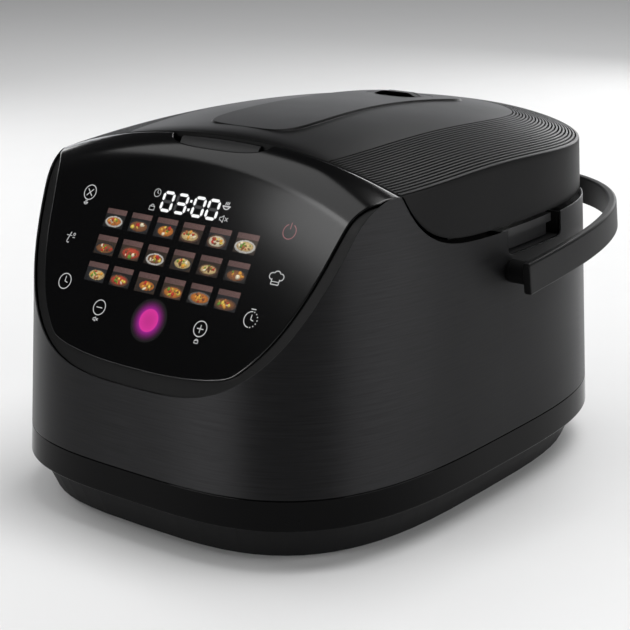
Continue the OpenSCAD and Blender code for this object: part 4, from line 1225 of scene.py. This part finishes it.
# Menu tiles: a blank label bar over a generic dish
TILE_W, TILE_H = 15.4, 11.6
TILE_COLS, TILE_ROWS = 6, (93.5, 76.8, 60.0)
TILE_PITCH, TILE_MID = 20.1, -1.9
TILE_GRID = (42, 32)
TILE_SEED = 11
LABEL_SHARE = 0.27
LABEL = np.array([0.125, 0.070, 0.064])
TABLES = np.array([(0.01, 0.009, 0.009), (0.028, 0.017, 0.011), (0.016, 0.016, 0.018), (0.045, 0.028, 0.018)])
DISHES = np.array([(0.60, 0.58, 0.54), (0.02, 0.02, 0.022), (0.14, 0.13, 0.12), (0.03, 0.025, 0.022),
                   (0.10, 0.05, 0.03)])
FOODS = np.array([(0.62, 0.45, 0.20), (0.45, 0.06, 0.03), (0.52, 0.17, 0.03), (0.22, 0.09, 0.035),
                  (0.66, 0.58, 0.42), (0.58, 0.36, 0.05)])
EXTRAS = np.array([(0.42, 0.03, 0.02), (0.12, 0.24, 0.03), (0.62, 0.28, 0.04), (0.70, 0.62, 0.44),
                   (0.16, 0.06, 0.025), (0.66, 0.48, 0.08), (0.30, 0.10, 0.03)])


def dish_colours(draw, u, v):
    """Colours of one tile over u across and v up, both from -1 to 1: table, plate, food and pieces on it."""
    light = 0.75 + 0.25 * v + 0.12 * u
    colour = TABLES[draw.integers(len(TABLES))] * light[:, None]
    cx, cy = draw.uniform(-0.15, 0.15), draw.uniform(-0.42, -0.30)
    wide, deep = draw.uniform(0.86, 1.08), draw.uniform(0.56, 0.72)
    dish = DISHES[draw.integers(len(DISHES))]
    food = FOODS[draw.integers(len(FOODS))]
    rim = np.hypot((u - cx) / wide, (v - cy) / deep)
    shade = np.clip(1.15 - 0.35 * rim + 0.2 * v, 0.3, 1.2)
    colour = np.where((rim < 1)[:, None], dish * shade[:, None], colour)
    fill = np.hypot((u - cx) / (0.82 * wide), (v - cy - 0.03) / (0.76 * deep))
    heap = np.clip(1.1 - 0.5 * fill ** 2 + 0.25 * (v - cy), 0.3, 1.3)
    colour = np.where((fill < 1)[:, None], food * heap[:, None], colour)
    for _ in range(int(draw.integers(9, 16))):
        a, r = draw.uniform(0, 2 * np.pi), 0.78 * math.sqrt(draw.uniform(0, 1))
        px, py = cx + 0.8 * wide * r * math.cos(a), cy + 0.05 + 0.74 * deep * r * math.sin(a)
        size, slim, turn = draw.uniform(0.09, 0.2), draw.uniform(0.35, 1.0), draw.uniform(0, np.pi)
        piece = EXTRAS[draw.integers(len(EXTRAS))]
        dx, dy = u - px, (v - py) * TILE_H / TILE_W
        along = dx * math.cos(turn) + dy * math.sin(turn)
        across = (dy * math.cos(turn) - dx * math.sin(turn)) / slim
        near = np.hypot(along, across) / size
        bright = np.clip(1.15 - 0.5 * near ** 2 + 0.6 * dy / size, 0.25, 1.5)
        colour = np.where((near < 1)[:, None], piece * bright[:, None], colour)
    return colour


def make_tiles():
    draw = np.random.default_rng(TILE_SEED)
    cols, rows = TILE_GRID
    u, v = np.meshgrid(np.linspace(-1, 1, cols), np.linspace(-1, 1, rows))
    u, v = u.ravel(), v.ravel()
    bar = (v > 1 - 2 * LABEL_SHARE)[:, None]
    label = LABEL * (0.9 + 0.15 * u)[:, None]
    pts, faces, colours = [], [], []
    for s in TILE_ROWS:
        for i in range(TILE_COLS):
            x = TILE_MID + (i - (TILE_COLS - 1) / 2) * TILE_PITCH
            faces.append(grid_faces(rows, cols, start=len(pts) * len(u)))
            pts.append(on_glass(x + u * TILE_W / 2, s + v * TILE_H / 2))
            colours.append(np.where(bar, label, dish_colours(draw, u, v)))
    pts, faces, colours = (np.concatenate(rows) for rows in (pts, faces, colours))
    coloured("menu_tiles", pts, faces, colours, M["tiles"])


make_tiles()

# Stage, light and camera
CAM_AZ = math.radians(37.54)
CAM_EL = math.radians(16.44)
CAM_DIST = 1.0541
CAM_AIM = Vector((-0.004344, -MIDDLE_Y * 0.001, 0.09177))
FOCAL_PX = 1630.2
PHOTO_PX = 630
SENSOR_MM = 36.0
FLOOR_HALF = 6.0
scene = bpy.context.scene


def set_pose(ob, place, x, z):
    """Puts an object at a place, with its own x and z axes along the given ones."""
    ob.matrix_world = Matrix.Translation(place) @ Matrix((x, z.cross(x), z)).transposed().to_4x4()


flat = math.cos(CAM_EL)
back = Vector((math.sin(CAM_AZ) * flat, -math.cos(CAM_AZ) * flat, math.sin(CAM_EL)))
cam = add_object("camera", bpy.data.cameras.new("camera"))
set_pose(cam, CAM_AIM + back * CAM_DIST, Vector((math.cos(CAM_AZ), math.sin(CAM_AZ), 0.0)), back)
cam.data.sensor_width = SENSOR_MM
cam.data.lens = FOCAL_PX / PHOTO_PX * SENSOR_MM
cam.data.clip_start = 0.05
scene.camera = cam


def area_light(name, place, aim, size, power):
    d = bpy.data.lights.new(name, "AREA")
    d.shape = "RECTANGLE"
    d.size, d.size_y = size
    d.energy = power
    z = (Vector(place) - Vector(aim)).normalized()
    set_pose(add_object(name, d), place, Vector((0, 0, 1)).cross(z).normalized(), z)


area_light("overhead", (0.55, 0.9, 4.0), (0.45, 0.1, 0), (3.0, 2.5), 115)
area_light("rear_high", (-0.28, 1.42, 1.35), (0, 0, 0.2), (0.9, 0.35), 5.6)
area_light("front_strip", (-0.766, -1.164, 1.27), (0.03, -0.14, 0.17), (0.48, 0.36), 1.8)
area_light("front_top", (-0.83, -0.6, 1.66), (0.1, -0.1, 0.2), (1.3, 1.0), 5.4)
area_light("front_low", (-0.3, -1.27, 0.26), (0, -0.1, 0.1), (0.75, 0.2), 7.5)
area_light("side_right", (1.2, 0.25, 0.32), (0, 0, 0.1), (1.1, 0.5), 8.5)
area_light("rear_fill", (-0.2, 1.8, 0.6), (0, 0.15, 0.12), (0.9, 0.5), 5.5)
area_light("left_fill", (-1.4, 0.1, 0.5), (0, 0, 0.12), (0.9, 0.5), 4)

me = bpy.data.meshes.new("floor")
corners = [(x * FLOOR_HALF, y * FLOOR_HALF, 0) for x, y in ((-1, -1), (1, -1), (1, 1), (-1, 1))]
me.from_pydata(corners, [], [range(4)])
floor = add_object("floor", me)
floor.data.materials.append(plastic("floor_pale", (0.8, 0.8, 0.8), 0.8, bump=0.02, mottle=0.01, spec=0.2))

# Dim surroundings with one bright wall low behind the left side
world = bpy.data.worlds.new("studio")
scene.world = world
world.use_nodes = True
sky = world.node_tree
towards = add(sky, "TexCoord")
axes = add(sky, "SeparateXYZ")
join(towards, "Generated", axes, "Vector")
aside = add(sky, "VectorMath", operation="DOT_PRODUCT")
aside.inputs[1].default_value = (-0.61, 0.79, 0.0)
join(towards, "Generated", aside, 0)
rear = ranged(sky, aside, "Value", interpolation_type="SMOOTHSTEP", From_Min=0.35, From_Max=0.95)
low = ranged(sky, axes, "Z", interpolation_type="SMOOTHSTEP", From_Min=0.40, From_Max=0.24)
glow = add(sky, "Math", operation="MULTIPLY")
join(rear, "Result", glow, 0)
join(low, "Result", glow, 1)
wall = ranged(sky, glow, "Value", To_Min=0.045, To_Max=1.35)
join(wall, "Result", sky.nodes["Background"], "Strength")
put(sky.nodes["Background"], Color=(0.96, 0.97, 1.0, 1))
scene.view_settings.view_transform = "Standard"
